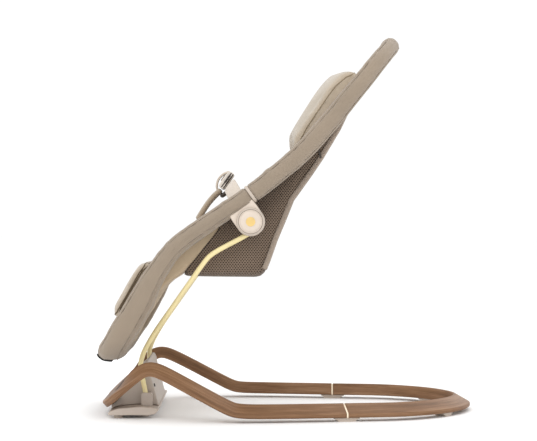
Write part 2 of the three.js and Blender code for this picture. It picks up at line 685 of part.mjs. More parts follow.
function addSeatBody() {
  add(seat, 'mesh_bucket', bucketGeometry(), 'mesh');
  const gap = BOLSTER_RADIUS + 3;
  const footRoom = insideLoop(toFeet + gap, FOOT_CORNER - gap, bucketHalf);
  const headRoom = insideLoop(toHead - gap, HEAD_CORNER - gap, bucketHalf);
  const liner = slab(ribbon(linerLine(), LINER_THICKNESS), -linerHalf, linerHalf);
  add(seat, 'seat_liner', trimmed(liner, [footRoom, headRoom]), 'strap');

  const top = lineFrom(toFeet + gap - 4, -64, 10, 7.5);
  const rear = shifted(FRONT_LINE.slice(0, -1).reverse(), -1.4);
  const panel = slab([...top, ...rear, ...LEG_UNDERSIDE], -bucketHalf, bucketHalf);
  add(seat, 'leg_panel', trimmed(panel, [footRoom]), 'panel');

  const strip = shifted(BACK_LINE.slice(1, 9), 1.6).map(([x, z]) => [x + 0.5, z]);
  add(seat, 'back_binding', slab(ribbon(strip, 2), -bucketHalf, bucketHalf), 'binding');
  add(seat, 'zip_pull', new THREE.BoxGeometry(3, 2, 14).rotateY(-0.25)
    .translate(118, -bucketHalf - 1.5, 115), 'rubber');
}

// A cushion on the seat: a front surface given by [distance, rise], and a flat back.
function cushion(front, back, halfWidth) {
  const start = front[0][0];
  const end = front[front.length - 1][0];
  return slab([...front.map(([distance, rise]) => onLine(distance, rise)),
    ...lineFrom(end, start, 5, back)], -halfWidth, halfWidth);
}

function addPads() {
  add(seat, 'head_pillow', cushion([[138, 15], [147, 27], [178, 37], [212, 43], [245, 47],
    [270, 47], [296, 43], [309, 33], [313, 16]], 4, PILLOW_HALF_WIDTH), 'pillow');
  add(seat, 'leg_pad', cushion([[-288, 19], [-282, 28], [-256, 31], [-216, 31], [-184, 29],
    [-176, 19]], 16, LEG_PAD_HALF_WIDTH), 'bolster');
  const [x, z] = onLine(toFeet);
  const arc = (radius, from, to) => Array.from({ length: 6 }, (_, i) => {
    const angle = THREE.MathUtils.degToRad(from + ((to - from) * i) / 5);
    return [x + radius * Math.cos(angle), z + radius * Math.sin(angle)];
  });
  const outer = BOLSTER_RADIUS / Math.cos(Math.PI / 10) + 0.4;
  add(seat, 'foot_bumper', slab([...arc(outer, 195, 255), ...arc(outer + 2.4, 255, 195)],
    -60, 60), 'rubber');
}

// ---- the harness --------------------------------------------------------------------------

const BUCKLE = [-42, 75];           // middle of the buckle, from the pivot
const BUCKLE_ANGLE = THREE.MathUtils.degToRad(54);
const BUCKLE_LENGTH = 34;
const BUCKLE_WIDTH = 40;
const BUCKLE_THICKNESS = 13;

// A piece drawn lying flat, set at the buckle's place and tilt.
function atBuckle(geometry) {
  return geometry.rotateY(-BUCKLE_ANGLE).translate(BUCKLE[0], 0, BUCKLE[1]);
}

function buckleGeometry() {
  const half = BUCKLE_LENGTH / 2;
  const low = -BUCKLE_THICKNESS / 2;
  const body = slab([[-half, low + 2], [2 - half, low], [half - 2, low], [half, low + 2],
    [half, -low - 3], [half - 3, -low], [3 - half, -low], [-half, -low - 3]],
  -BUCKLE_WIDTH / 2, BUCKLE_WIDTH / 2);
  const buttonHole = new THREE.BoxGeometry(14, 16, 12.4).translate(0, 0, -low);
  const strapSlot = new THREE.BoxGeometry(3.4, STRAP_WIDTH + 2, 30).translate(5 - half, 0, 0);
  const tongueSlots = [-1, 1].map((side) => new THREE.BoxGeometry(18, 14, 4)
    .translate(3, side * (BUCKLE_WIDTH / 2 - 3), 0));
  return atBuckle(carve(body, [], [buttonHole, strapSlot, ...tongueSlots]));
}

// A flat strap along an X-Z line, centred on a Y.
function strap(points, thickness, width, y = 0) {
  return slab(ribbon(points, thickness), y - width / 2, y + width / 2);
}

function addHarness() {
  add(seat, 'buckle_body', buckleGeometry(), 'buckle');
  const button = new THREE.BoxGeometry(13, 15, 5).translate(0, 0, 5.2);
  add(seat, 'buckle_button', atBuckle(button), 'buckle');

  const crotch = [[-92, 6], [-84, 14], [-70, 32], [-60, 44], [-55.5, 50.5]];
  add(seat, 'crotch_strap', strap(crotch, 8, 46), 'panel');
  const webbing = [[-66, 57], [-62.5, 68], [-57, 81], [-41, 95]];
  const backing = [[-46, 44], [-38, 52], [-33, 62]];
  for (const [name, side] of SIDES) {
    add(seat, `buckle_tongue_${name}`, atBuckle(new THREE.BoxGeometry(17, 18, 3)
      .translate(3, side * (BUCKLE_WIDTH / 2 + 3), 0)), 'rubber');
    add(seat, `waist_belt_${name}`, waistBelt(side), 'strap');
  }
  add(seat, 'webbing_loop', strap(webbing, 1.6, STRAP_WIDTH), 'strap');
  add(seat, 'buckle_pad', strap(backing, 4, BUCKLE_WIDTH + 4), 'rubber');
}

// A padded belt from the buckle's side out to the seat's side wall.
function waistBelt(side) {
  const start = new THREE.Vector3(BUCKLE[0] + 10, side * (BUCKLE_WIDTH / 2 + 14), BUCKLE[1] + 6);
  const end = new THREE.Vector3(-14, side * (bucketHalf - FABRIC - 5), 40);
  const middle = start.clone().lerp(end, 0.5).add(new THREE.Vector3(-4, 0, 9));
  const path = new THREE.CatmullRomCurve3([start, middle, end]);
  const section = outline([[-2, -17], [2, -17], [2, 17], [-2, 17]]);
  return new THREE.ExtrudeGeometry(section, { steps: 8, extrudePath: path });
}

addLoop();
addRailFoot('splice_foot', RAIL_SPLICE_X, 43, 30, 22);
addRailFoot('rear_foot', REAR_FOOT_X, 26, 14, 22);
addHousing();
addRods();
for (const [name, side] of SIDES) addHub(name, side);
addFrame();
addSeatBody();
addPads();
addHarness();

root.updateMatrixWorld(true);
const box = new THREE.Box3().setFromObject(root);
root.position.set(-(box.min.x + box.max.x) / 2, 0, -box.min.z);

export default root;
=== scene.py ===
# %% [markdown]
# # A baby's bouncer seat, piece by piece
# The real object has a bent wood loop on the floor, two springy steel rods that rise from a
# plastic housing, and a padded seat that reclines about a hub at each side. The hard parts
# already exist as a CAD frame. This lesson dresses that frame: it loads it, then works
# out each visible piece as a surface and gives it a finish.

# %% Load the frame
import json
import math
import bmesh
import bpy
import numpy as np
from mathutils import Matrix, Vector
from mathutils.bvhtree import BVHTree


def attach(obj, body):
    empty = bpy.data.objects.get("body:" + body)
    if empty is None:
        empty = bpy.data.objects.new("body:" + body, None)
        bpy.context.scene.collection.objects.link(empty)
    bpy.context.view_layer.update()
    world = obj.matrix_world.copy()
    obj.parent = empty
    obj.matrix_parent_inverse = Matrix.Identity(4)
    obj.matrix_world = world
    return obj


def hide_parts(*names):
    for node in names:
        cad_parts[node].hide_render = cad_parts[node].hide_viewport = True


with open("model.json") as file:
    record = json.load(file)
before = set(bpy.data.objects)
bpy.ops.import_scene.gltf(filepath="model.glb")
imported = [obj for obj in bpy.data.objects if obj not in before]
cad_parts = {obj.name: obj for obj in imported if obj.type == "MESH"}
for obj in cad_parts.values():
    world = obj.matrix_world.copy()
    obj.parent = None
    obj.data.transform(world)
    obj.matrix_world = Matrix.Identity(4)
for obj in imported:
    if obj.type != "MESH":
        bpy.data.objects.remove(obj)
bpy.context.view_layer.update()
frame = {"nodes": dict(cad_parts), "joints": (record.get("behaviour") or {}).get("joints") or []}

joint = {j["name"]: j for j in frame["joints"]}
HUB = np.array(joint["recline"]["pos_m"])
print(len(frame["nodes"]), "nodes; the hub's axis is at", HUB)

# %% [markdown]
# ## Floor, light and camera
# A product of this kind is shown on a pale sweep and broad, soft lamps, so that the cloth
# reads by its folds and not by hard shadows. One large plane is the floor. The camera stands
# square to the side at the height of the seat, far back with a long lens, so that the loop
# of wood opens a little and the far side shows just above the near one.

# %% Camera
scene = bpy.context.scene
camera = bpy.data.objects.new("camera", bpy.data.cameras.new("camera"))
camera.data.lens = 100.6
camera.data.shift_x = 0.0512
camera.data.shift_y = 0.0151
camera.location = HUB + (-0.016, -2.7, -0.0115)
camera.rotation_euler = (math.pi / 2, 0, 0)
scene.collection.objects.link(camera)
scene.camera = camera
print("camera at", tuple(round(v, 3) for v in camera.location))

# %% Lamps and floor
def soft_lamp(name, place, aim, size, power, tint=(1, 1, 1)):
    """A square area lamp at a place, turned towards a point."""
    lamp = bpy.data.objects.new(name, bpy.data.lights.new(name, "AREA"))
    lamp.data.size, lamp.data.energy, lamp.data.color = size, power, tint
    lamp.location = place
    lamp.rotation_euler = (Vector(aim) - Vector(place)).to_track_quat("-Z", "Y").to_euler()
    scene.collection.objects.link(lamp)
    return lamp


soft_lamp("key", (-1.1, -2.0, 2.3), (0, 0, 0.3), 1.6, 19, (1, 0.985, 0.96))
soft_lamp("fill", (1.8, -2.0, 1.0), (0, 0, 0.3), 2.2, 7, (0.97, 0.985, 1))
soft_lamp("top", (0.2, 0.6, 2.6), (0, 0, 0.2), 2.0, 13)
soft_lamp("rim", (1.6, 2.2, 1.4), (0, 0, 0.35), 1.4, 7)
world = bpy.data.worlds.new("studio")
world.use_nodes = True
world.node_tree.nodes["Background"].inputs["Color"].default_value = (1, 1, 1, 1)
world.node_tree.nodes["Background"].inputs["Strength"].default_value = 1.04
scene.world = world
scene.view_settings.view_transform = "Standard"

floor = bpy.data.objects.new("floor", bpy.data.meshes.new("floor"))
floor.data.from_pydata([(-60, -60, 0), (60, -60, 0), (60, 60, 0), (-60, 60, 0)], [], [(0, 1, 2, 3)])
paper = bpy.data.materials.new("pale_paper")
paper.use_nodes = True
paper.node_tree.nodes["Principled BSDF"].inputs["Base Color"].default_value = (0.97, 0.97, 0.97, 1)
paper.node_tree.nodes["Principled BSDF"].inputs["Roughness"].default_value = 0.9
paper.node_tree.nodes["Principled BSDF"].inputs["Specular IOR Level"].default_value = 0.1
floor.data.materials.append(paper)
scene.collection.objects.link(floor)

# %% [markdown]
# ## Lines and surfaces
# Nearly every piece here follows a line: the wood follows its bent plan, the padded rolls
# follow the seat's tube, the straps follow the body. So the tools are few: a smooth line
# through given points, a way to measure along it, and a grid of points that becomes a mesh.

# %% Smooth lines
def smooth_line(points, closed=False, per=40):
    """A line through points: each stretch is a cubic whose end slopes come from the
    neighbouring points, spaced by the square roots of the distances between them."""
    p = np.asarray(points, float)
    q = np.vstack([p[-1:], p, p[:2]]) if closed else np.vstack(
        [2 * p[:1] - p[1:2], p, 2 * p[-1:] - p[-2:-1]])
    a, b, c, d = q[:-3], q[1:-2], q[2:-1], q[3:]
    def gap(m, n):
        return np.linalg.norm(n - m, axis=1)[:, None] ** 0.5

    g0, g1, g2 = gap(a, b), gap(b, c), gap(c, d)
    m1 = ((b - a) / g0 - (c - a) / (g0 + g1) + (c - b) / g1) * g1
    m2 = ((c - b) / g1 - (d - b) / (g1 + g2) + (d - c) / g2) * g1
    t = np.linspace(0, 1, per, endpoint=False)[None, :, None]
    b, c, m1, m2 = (v[:, None, :] for v in (b, c, m1, m2))
    run = b + m1 * t + (3 * (c - b) - 2 * m1 - m2) * t**2 + (2 * (b - c) + m1 + m2) * t**3
    return np.vstack([run.reshape(-1, p.shape[1]), p[:1] if closed else p[-1:]])


class Line:
    """A line of points measured by its own length."""

    def __init__(self, points):
        self.points = np.asarray(points, float)
        steps = np.linalg.norm(np.diff(self.points, axis=0), axis=1)
        self.measure = np.concatenate([[0], np.cumsum(steps)])
        self.length = self.measure[-1]

    def at(self, distance):
        return np.stack([np.interp(distance, self.measure, column)
                         for column in self.points.T], -1)

    def along(self, distance):
        step = self.length * 0.004
        low = np.clip(np.asarray(distance) - step, 0, self.length)
        high = np.clip(np.asarray(distance) + step, 0, self.length)
        run = self.at(high) - self.at(low)
        return run / np.linalg.norm(run, axis=-1, keepdims=True)


def unit(v):
    return v / np.linalg.norm(v, axis=-1, keepdims=True)


# %% Meshes from grids of points
def grid_mesh(name, points, round_u=False, round_v=False, caps=False, uv=None):
    """A mesh from a grid of points (u, v, 3). round_u and round_v join the last row or
    column to the first; caps close both u ends with a fan. uv defaults to the distances in
    metres along u and v."""
    points = np.asarray(points, float)
    nu, nv = points.shape[:2]
    joined = points
    if round_u:
        joined = np.concatenate([joined, joined[:1]], 0)
    if round_v:
        joined = np.concatenate([joined, joined[:, :1]], 1)
    if uv is None:
        du = np.linalg.norm(np.diff(joined, axis=0), axis=2).mean(1)
        dv = np.linalg.norm(np.diff(joined, axis=1), axis=2).mean(0)
        u = np.concatenate([[0], np.cumsum(du)])
        v = np.concatenate([[0], np.cumsum(dv)])
        uv = np.stack(np.meshgrid(u, v, indexing="ij"), -1)
    i, j = np.meshgrid(np.arange(joined.shape[0] - 1), np.arange(joined.shape[1] - 1),
                       indexing="ij")
    i, j = i.ravel(), j.ravel()
    corner = [(i, j), (i + 1, j), (i + 1, j + 1), (i, j + 1)]
    quads = np.stack([(a % nu) * nv + (b % nv) for a, b in corner], 1)
    loop_uv = np.stack([uv[a, b] for a, b in corner], 1).reshape(-1, 2)
    vertices = points.reshape(-1, 3)
    faces = quads.tolist()
    if caps:
        vertices = np.vstack([vertices, points[0].mean(0), points[-1].mean(0)])
        ring = np.arange(nv)
        after = (ring + 1) % nv
        for row, hub in ((0, nu * nv), ((nu - 1) * nv, nu * nv + 1)):
            fan = np.stack([row + ring, row + after, np.full(nv, hub)], 1)
            faces += fan.tolist()
            across = vertices[fan.ravel()]
            loop_uv = np.vstack([loop_uv, across[:, 1:]])
    mesh = bpy.data.meshes.new(name)
    mesh.from_pydata(vertices.tolist(), [], faces)
    layer = mesh.uv_layers.new(name="UVMap")
    layer.data.foreach_set("uv", loop_uv.astype(np.float32).ravel())
    mesh.polygons.foreach_set("use_smooth", np.ones(len(faces), bool))
    piece = bpy.data.objects.new(name, mesh)
    scene.collection.objects.link(piece)
    outward(piece)
    return piece


def outward(piece):
    """Turns every face of a closed piece outwards."""
    work = bmesh.new()
    work.from_mesh(piece.data)
    bmesh.ops.recalc_face_normals(work, faces=work.faces)
    work.to_mesh(piece.data)
    work.free()


def mirrored(piece, name):
    """The same piece on the other side of the middle plane."""
    other = bpy.data.objects.new(name, piece.data.copy())
    scene.collection.objects.link(other)
    work = bmesh.new()
    work.from_mesh(other.data)
    bmesh.ops.scale(work, vec=(1, -1, 1), verts=work.verts)
    bmesh.ops.recalc_face_normals(work, faces=work.faces)
    work.to_mesh(other.data)
    work.free()
    return other


def dress(piece, finish, body, nodes=()):
    """Gives a piece its finish, the body it moves with and the nodes it stands for."""
    piece.data.materials.clear()
    piece.data.materials.append(finish)
    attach(piece, body)
    if nodes:
        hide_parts(*nodes)
    return piece


def modifier(piece, kind, **values):
    made = piece.modifiers.new(kind.lower(), kind)
    for key, value in values.items():
        setattr(made, key, value)
    return made


def both_sides(make, name, finish, body, node=None):
    """A left piece and its mirror on the right. A body with braces takes the side's name."""
    left = make(f"{name}_left")
    right = mirrored(left, f"{name}_right")
    for made in left.modifiers:
        modifier(right, made.type, **{k: getattr(made, k) for k in ("width", "segments")
                                      if hasattr(made, k)})
    for piece, hand in ((left, "left"), (right, "right")):
        dress(piece, finish, body.format(hand), [f"{node}_{hand}"] if node else ())
    return left, right


# %% Sections swept along lines
def tube(name, centre, radius, sides=24, caps=True):
    """A round bar: rings of a radius about each point of a centre line, each ring square to
    the line and turned towards one fixed axis, the one the line runs along least."""
    centre = np.asarray(centre, float)
    forward = unit(np.gradient(centre, axis=0))
    guess = np.eye(3)[np.argmin(np.abs(forward).max(0))]
    across = unit(guess - (forward @ guess)[:, None] * forward)
    up = np.cross(forward, across)
    angle = np.linspace(0, 2 * np.pi, sides, endpoint=False)
    radius = np.broadcast_to(np.asarray(radius, float), len(centre))[:, None, None]
    ring = across[:, None] * np.cos(angle)[None, :, None]
    ring = ring + up[:, None] * np.sin(angle)[None, :, None]
    return grid_mesh(name, centre[:, None] + radius * ring, round_v=True, caps=caps)


def superellipse(angle, power):
    """Cosine and sine bent towards a square: the sign times the size to the 2/power."""
    c, s = np.cos(angle), np.sin(angle)
    bend = 2 / power
    return np.sign(c) * np.abs(c) ** bend, np.sign(s) * np.abs(s) ** bend


def waves(u, v, lengths, seed):
    """Uneven cloth: a sum of sine waves of given lengths in metres, in fixed random
    directions and phases, from about -1 to 1."""
    chance = np.random.default_rng(seed)
    total = 0
    for length in lengths:
        for _ in range(3):
            heading, phase = chance.uniform(0, 2 * np.pi, 2)
            total = total + np.sin(2 * np.pi * (u * np.cos(heading) + v * np.sin(heading))
                                   / length + phase)
    return total / (3 * len(lengths)) ** 0.5 / 1.4


# %% [markdown]
# ## Node groups that several finishes share
# Cloth, moulded plastic and wood each need detail at their own scale. A weave, a slow change
# of tone and a fine moulded skin are used by more than one finish, so each is a node group
# made once. A group gives out only a height or a mask; the shader stays in each finish.

# %% Node helpers
def node_group(name, inputs, outputs):
    tree = bpy.data.node_groups.new(name, "ShaderNodeTree")
    for label, kind, value in inputs:
        socket = tree.interface.new_socket(label, in_out="INPUT", socket_type=kind)
        if value is not None:
            socket.default_value = value
    for label in outputs:
        tree.interface.new_socket(label, in_out="OUTPUT", socket_type="NodeSocketFloat")
    return tree, tree.nodes.new("NodeGroupInput"), tree.nodes.new("NodeGroupOutput")


def link(tree, source, target):
    tree.links.new(source, target)


def maths(tree, operation, *values, clamp=False):
    """A Math node fed with sockets or numbers; gives its output socket."""
    node = tree.nodes.new("ShaderNodeMath")
    node.operation, node.use_clamp = operation, clamp
    for socket, value in zip(node.inputs, values):
        if isinstance(value, (int, float)):
            socket.default_value = value
        else:
            link(tree, value, socket)
    return node.outputs[0]


def noise(tree, vector, scale, detail=3.0, rough=0.55):
    node = tree.nodes.new("ShaderNodeTexNoise")
    node.inputs["Detail"].default_value = detail
    node.inputs["Roughness"].default_value = rough
    link(tree, vector, node.inputs["Vector"])
    if isinstance(scale, (int, float)):
        node.inputs["Scale"].default_value = scale
    else:
        link(tree, scale, node.inputs["Scale"])
    return node.outputs["Fac"]


def stretched(tree, vector, scale):
    node = tree.nodes.new("ShaderNodeMapping")
    node.inputs["Scale"].default_value = scale
    link(tree, vector, node.inputs["Vector"])
    return node.outputs["Vector"]


# %% Weave, tone and moulded skin
def make_weave():
    """Threads over and under each other: the height is the warp's arch where the cell is
    even and the weft's where it is odd."""
    tree, given, made = node_group("weave", [("Vector", "NodeSocketVector", None),
                                             ("Threads per metre", "NodeSocketFloat", 900.0)],
                                   ["Height", "Fuzz"])
    split = tree.nodes.new("ShaderNodeSeparateXYZ")
    wobble = noise(tree, given.outputs["Vector"], 160.0, 2.0)
    link(tree, given.outputs["Vector"], split.inputs[0])
    count = given.outputs["Threads per metre"]
    angle = [maths(tree, "MULTIPLY", maths(tree, "MULTIPLY_ADD", split.outputs[k], count,
                                           maths(tree, "MULTIPLY", wobble, 0.8)), math.pi)
             for k in (0, 1)]
    warp, weft = (maths(tree, "SINE", a) for a in angle)
    over = maths(tree, "MULTIPLY_ADD", maths(tree, "MULTIPLY", warp, weft), 1.2, 0.5, clamp=True)
    arches = [maths(tree, "ABSOLUTE", w) for w in (warp, weft)]
    mixed = maths(tree, "ADD", maths(tree, "MULTIPLY", arches[0], over),
                  maths(tree, "MULTIPLY", arches[1], maths(tree, "SUBTRACT", 1.0, over)))
    link(tree, mixed, made.inputs["Height"])
    link(tree, noise(tree, given.outputs["Vector"], 1400.0, 2.0), made.inputs["Fuzz"])
    return tree


def make_tone():
    """A slow, blotchy change, as of dye or handling, from 0 to 1 about a middle of 0.5."""
    tree, given, made = node_group("tone", [("Vector", "NodeSocketVector", None),
                                            ("Scale", "NodeSocketFloat", 9.0)], ["Tone"])
    link(tree, noise(tree, given.outputs["Vector"], given.outputs["Scale"], 4.0),
         made.inputs["Tone"])
    return tree


def make_skin():
    """The fine pebbled skin that a mould leaves on plastic and rubber."""
    tree, given, made = node_group("moulded_skin", [("Vector", "NodeSocketVector", None),
                                                    ("Scale", "NodeSocketFloat", 900.0)],
                                   ["Height"])
    cells = tree.nodes.new("ShaderNodeTexVoronoi")
    cells.feature = "SMOOTH_F1"
    link(tree, given.outputs["Vector"], cells.inputs["Vector"])
    link(tree, given.outputs["Scale"], cells.inputs["Scale"])
    link(tree, cells.outputs["Distance"], made.inputs["Height"])
    return tree


WEAVE, TONE, SKIN = make_weave(), make_tone(), make_skin()
print("groups:", [g.name for g in (WEAVE, TONE, SKIN)])


# %% Building a finish
class Finish:
    """A material under construction: its tree, its shader and the coordinates it reads."""

    def __init__(self, name, rough, metallic=0.0, coat=0.0, sheen=0.0, specular=0.5):
        self.material = bpy.data.materials.new(name)
        self.material.use_nodes = True
        self.tree = self.material.node_tree
        self.shader = self.tree.nodes["Principled BSDF"]
        shader = self.shader.inputs
        shader["Roughness"].default_value = rough
        shader["Metallic"].default_value = metallic
        shader["Coat Weight"].default_value = coat
        shader["Coat Roughness"].default_value = 0.25
        shader["Sheen Weight"].default_value = sheen
        shader["Sheen Roughness"].default_value = 0.45
        shader["Specular IOR Level"].default_value = specular
        self.uv = self.tree.nodes.new("ShaderNodeTexCoord")

    def use(self, group, vector, **values):
        node = self.tree.nodes.new("ShaderNodeGroup")
        node.node_tree = group
        link(self.tree, vector, node.inputs["Vector"])
        for label, value in values.items():
            node.inputs[label.replace("_", " ")].default_value = value
        return node.outputs

    def colours(self, factor, *stops):
        """A colour ramp over a factor, from (position, sRGB colour) stops."""
        ramp = self.tree.nodes.new("ShaderNodeValToRGB")
        link(self.tree, factor, ramp.inputs["Fac"])
        while len(ramp.color_ramp.elements) < len(stops):
            ramp.color_ramp.elements.new(0.5)
        for element, (place, colour) in zip(ramp.color_ramp.elements, stops):
            element.position = place
            element.color = (*linear(colour), 1)
        return ramp.outputs["Color"]

    def paint(self, colour):
        link(self.tree, colour, self.shader.inputs["Base Color"])

    def bump(self, height, strength, distance):
        node = self.tree.nodes.new("ShaderNodeBump")
        node.inputs["Strength"].default_value = strength
        node.inputs["Distance"].default_value = distance
        link(self.tree, height, node.inputs["Height"])
        link(self.tree, node.outputs["Normal"], self.shader.inputs["Normal"])

    def roughness(self, factor, low, high):
        span = maths(self.tree, "MULTIPLY_ADD", factor, high - low, low)
        link(self.tree, span, self.shader.inputs["Roughness"])


def linear(colour):
    """sRGB from 0 to 255 as linear light."""
    c = np.asarray(colour, float) / 255
    return np.where(c <= 0.04045, c / 12.92, ((c + 0.055) / 1.055) ** 2.4).tolist()


def shades(colour, *factors):
    return [tuple(min(255, v * f) for v in colour) for f in factors]


# %% [markdown]
# ## Cloth finishes
# The roll, pillow and liner are a close, slightly hairy jersey, so their weave is fine and
# they have sheen, which lightens a cloth towards its silhouette. Webbing has a coarser weave.
# Each has a slow change of tone as well, because cloth is never one flat colour.

# %% Cloth
def cloth(name, colour, threads=850.0, sheen=0.35, rough=0.92, relief=0.45, spread=0.05):
    """A woven cloth: three close shades by tone, darkened a little between its threads as painted
    shade.
    """
    made = Finish(name, rough, sheen=sheen, specular=0.25)
    vector = made.uv.outputs["UV"]
    weave = made.use(WEAVE, vector, Threads_per_metre=threads)
    tone = made.use(TONE, made.uv.outputs["Object"], Scale=14.0)["Tone"]
    # The weave's height lightens the thread tops and darkens the gaps between them: painted shade.
    mixed = maths(made.tree, "ADD", maths(made.tree, "MULTIPLY", weave["Height"], 0.22),
                  maths(made.tree, "MULTIPLY", weave["Fuzz"], 0.3))
    factor = maths(made.tree, "ADD", mixed, maths(made.tree, "MULTIPLY", tone, 0.5))
    dark, middle, light = shades(colour, 1 - 2.2 * spread, 1, 1 + 1.3 * spread)
    made.paint(made.colours(factor, (0.18, dark), (0.5, middle), (0.85, light)))
    made.bump(maths(made.tree, "MULTIPLY_ADD", weave["Fuzz"], 0.6, weave["Height"]),
              relief, 0.0006)
    return made.material


roll_cloth = cloth("roll_cloth", (155, 140, 123), relief=0.7)
pad_cloth = cloth("pad_cloth", (184, 171, 154))
liner_cloth = cloth("liner_cloth", (200, 189, 176), threads=700.0)
panel_cloth = cloth("panel_cloth", (182, 163, 137), threads=620.0, sheen=0.2)
strap_cloth = cloth("strap_cloth", (160, 145, 126), threads=500.0, relief=0.6)
belt_cloth = cloth("belt_cloth", (205, 193, 180), threads=600.0, relief=0.5)
# The leg pad's piping is a real cord, and its dark colour is painted shade along the pad's edge.
dark_piping = cloth("dark_piping", (104, 90, 72), threads=900.0, sheen=0.1)
soft_piping = cloth("soft_piping", (150, 135, 112), threads=900.0, sheen=0.2)


def two_tone_cloth(name, front, side):
    """Cloth in two colours, mixed by the piece's own attribute: 1 on its front, 0 on its
    side."""
    made = Finish(name, 0.93, sheen=0.4, specular=0.25)
    weave = made.use(WEAVE, made.uv.outputs["UV"], Threads_per_metre=850.0)
    tone = made.use(TONE, made.uv.outputs["Object"], Scale=16.0)["Tone"]
    factor = maths(made.tree, "MULTIPLY_ADD", weave["Fuzz"], 0.4,
                   maths(made.tree, "MULTIPLY", tone, 0.5))
    mask = made.tree.nodes.new("ShaderNodeAttribute")
    mask.attribute_name = "front"
    mix = made.tree.nodes.new("ShaderNodeMix")
    mix.data_type = "RGBA"
    link(made.tree, mask.outputs["Fac"], mix.inputs["Factor"])
    for socket, colour in (("A", side), ("B", front)):
        dark, light = shades(colour, 0.93, 1.05)
        link(made.tree, made.colours(factor, (0.2, dark), (0.8, light)),
             [s for s in mix.inputs if s.name == socket and s.type == "RGBA"][0])
    made.paint([s for s in mix.outputs if s.type == "RGBA"][0])
    made.bump(weave["Height"], 0.4, 0.0006)
    return made.material


pillow_cloth = two_tone_cloth("pillow_cloth", (188, 178, 164), (198, 184, 165))


# %% Spacer mesh
def spacer_mesh(name, thread, hole, pitch=0.0037):
    """A knitted mesh with rows of holes, each row set half a pitch from the next: the
    distance to the nearest hole is the smaller of those to two crossed rows."""
    made = Finish(name, 0.9, sheen=0.15, specular=0.25)
    tree = made.tree
    split = tree.nodes.new("ShaderNodeSeparateXYZ")
    link(tree, made.uv.outputs["UV"], split.inputs[0])
    rise = pitch * 1.25
    near = []
    for shift in (0.0, 0.5):
        reach = []
        for axis, step in ((0, pitch), (1, rise)):
            moved = maths(tree, "ADD", split.outputs[axis], shift * step)
            wrapped = maths(tree, "WRAP", moved, step / 2, -step / 2)
            reach.append(maths(tree, "MULTIPLY", wrapped, (1.0, 1.25)[axis]))
        square = maths(tree, "ADD", *(maths(tree, "POWER", r, 2.0) for r in reach))
        near.append(maths(tree, "SQRT", square))
    distance = maths(tree, "DIVIDE", maths(tree, "MINIMUM", *near), pitch * 0.5)
    weave = made.use(WEAVE, made.uv.outputs["UV"], Threads_per_metre=1300.0)
    tone = made.use(TONE, made.uv.outputs["Object"], Scale=7.0)["Tone"]
    dark, light = shades(thread, 0.82, 1.12)
    # The thread colour darkens towards each hole: painted shade at the holes' rims.
    factor = maths(tree, "MULTIPLY_ADD", weave["Fuzz"], 0.25,
                   maths(tree, "MULTIPLY_ADD", tone, 0.4,
                         maths(tree, "MULTIPLY", distance, 0.35)))
    ground = made.colours(factor, (0.35, dark), (0.9, light))
    mix = tree.nodes.new("ShaderNodeMix")
    mix.data_type = "RGBA"
    edge = tree.nodes.new("ShaderNodeMapRange")
    edge.interpolation_type = "SMOOTHSTEP"
    edge.inputs["From Min"].default_value = 0.35
    edge.inputs["From Max"].default_value = 0.72
    link(tree, distance, edge.inputs["Value"])
    link(tree, edge.outputs["Result"], mix.inputs["Factor"])
    colour_in = [s for s in mix.inputs if s.type == "RGBA"]
    # The hole colour is painted shade, the dark seen through each hole.
    colour_in[0].default_value = (*linear(hole), 1)
    link(tree, ground, colour_in[1])
    made.paint([s for s in mix.outputs if s.type == "RGBA"][0])
    made.bump(maths(tree, "MULTIPLY_ADD", weave["Height"], 0.15, edge.outputs["Result"]),
              0.8, 0.0012)
    return made.material


# Each second colour is painted shade seen through the mesh's holes.
bucket_mesh = spacer_mesh("bucket_mesh", (126, 109, 94), (46, 34, 26), pitch=0.0046)
edge_mesh = spacer_mesh("edge_mesh", (178, 162, 147), (124, 108, 95), pitch=0.0024)

# %% [markdown]
# ## Plastic, rubber, paint and metal
# The hub and the housing are moulded in a warm grey with a fine skin that blurs highlights.
# The rods are powder coated, which leaves a soft orange peel. The feet are rubber. All of
# them read Object coordinates, since the frame's own parts carry no unwrapped map.

# %% Moulded and coated finishes
def moulded(name, colour, rough, skin=900.0, relief=0.12, coat=0.0, spread=0.03, metallic=0.0):
    """A plain hard finish: close shades by tone, roughness that varies with it, and a skin."""
    made = Finish(name, rough, metallic=metallic, coat=coat)
    place = made.uv.outputs["Object"]
    tone = made.use(TONE, place, Scale=22.0)["Tone"]
    height = made.use(SKIN, place, Scale=skin)["Height"]
    dark, light = shades(colour, 1 - spread, 1 + spread)
    made.paint(made.colours(tone, (0.3, dark), (0.7, light)))
    made.roughness(tone, rough - 0.06, rough + 0.08)
    made.bump(height, relief, 0.0003)
    return made.material


hub_plastic = moulded("hub_plastic", (210, 196, 182), 0.42, relief=0.06)
rim_plastic = moulded("rim_plastic", (188, 175, 162), 0.45, relief=0.06)
core_plastic = moulded("core_plastic", (150, 138, 126), 0.55)
housing_plastic = moulded("housing_plastic", (176, 164, 153), 0.5)
tray_plastic = moulded("tray_plastic", (187, 174, 162), 0.5)
foot_rubber = moulded("foot_rubber", (190, 177, 165), 0.8, relief=0.25)
buckle_plastic = moulded("buckle_plastic", (224, 216, 206), 0.38)
dark_plastic = moulded("dark_plastic", (58, 50, 44), 0.5)
dark_rubber = moulded("dark_rubber", (34, 32, 31), 0.75, relief=0.3)
rod_paint = moulded("rod_paint", (230, 214, 160), 0.4, skin=420.0, relief=0.05, coat=0.25)
plain_steel = moulded("plain_steel", (188, 188, 186), 0.35, metallic=1.0)
ring_inlay = moulded("ring_inlay", (250, 230, 202), 0.3, coat=0.3)

# %% [markdown]
# ## Wood
# The loop is bent from laminated wood, so its grain runs with the rail round every bend. The
# finish therefore reads the rail's own map, whose first direction is the distance along it.
# Long thin noise makes the streaks, a finer one the pores, and both are stretched the same
# way. Lacquer gives a low coat.

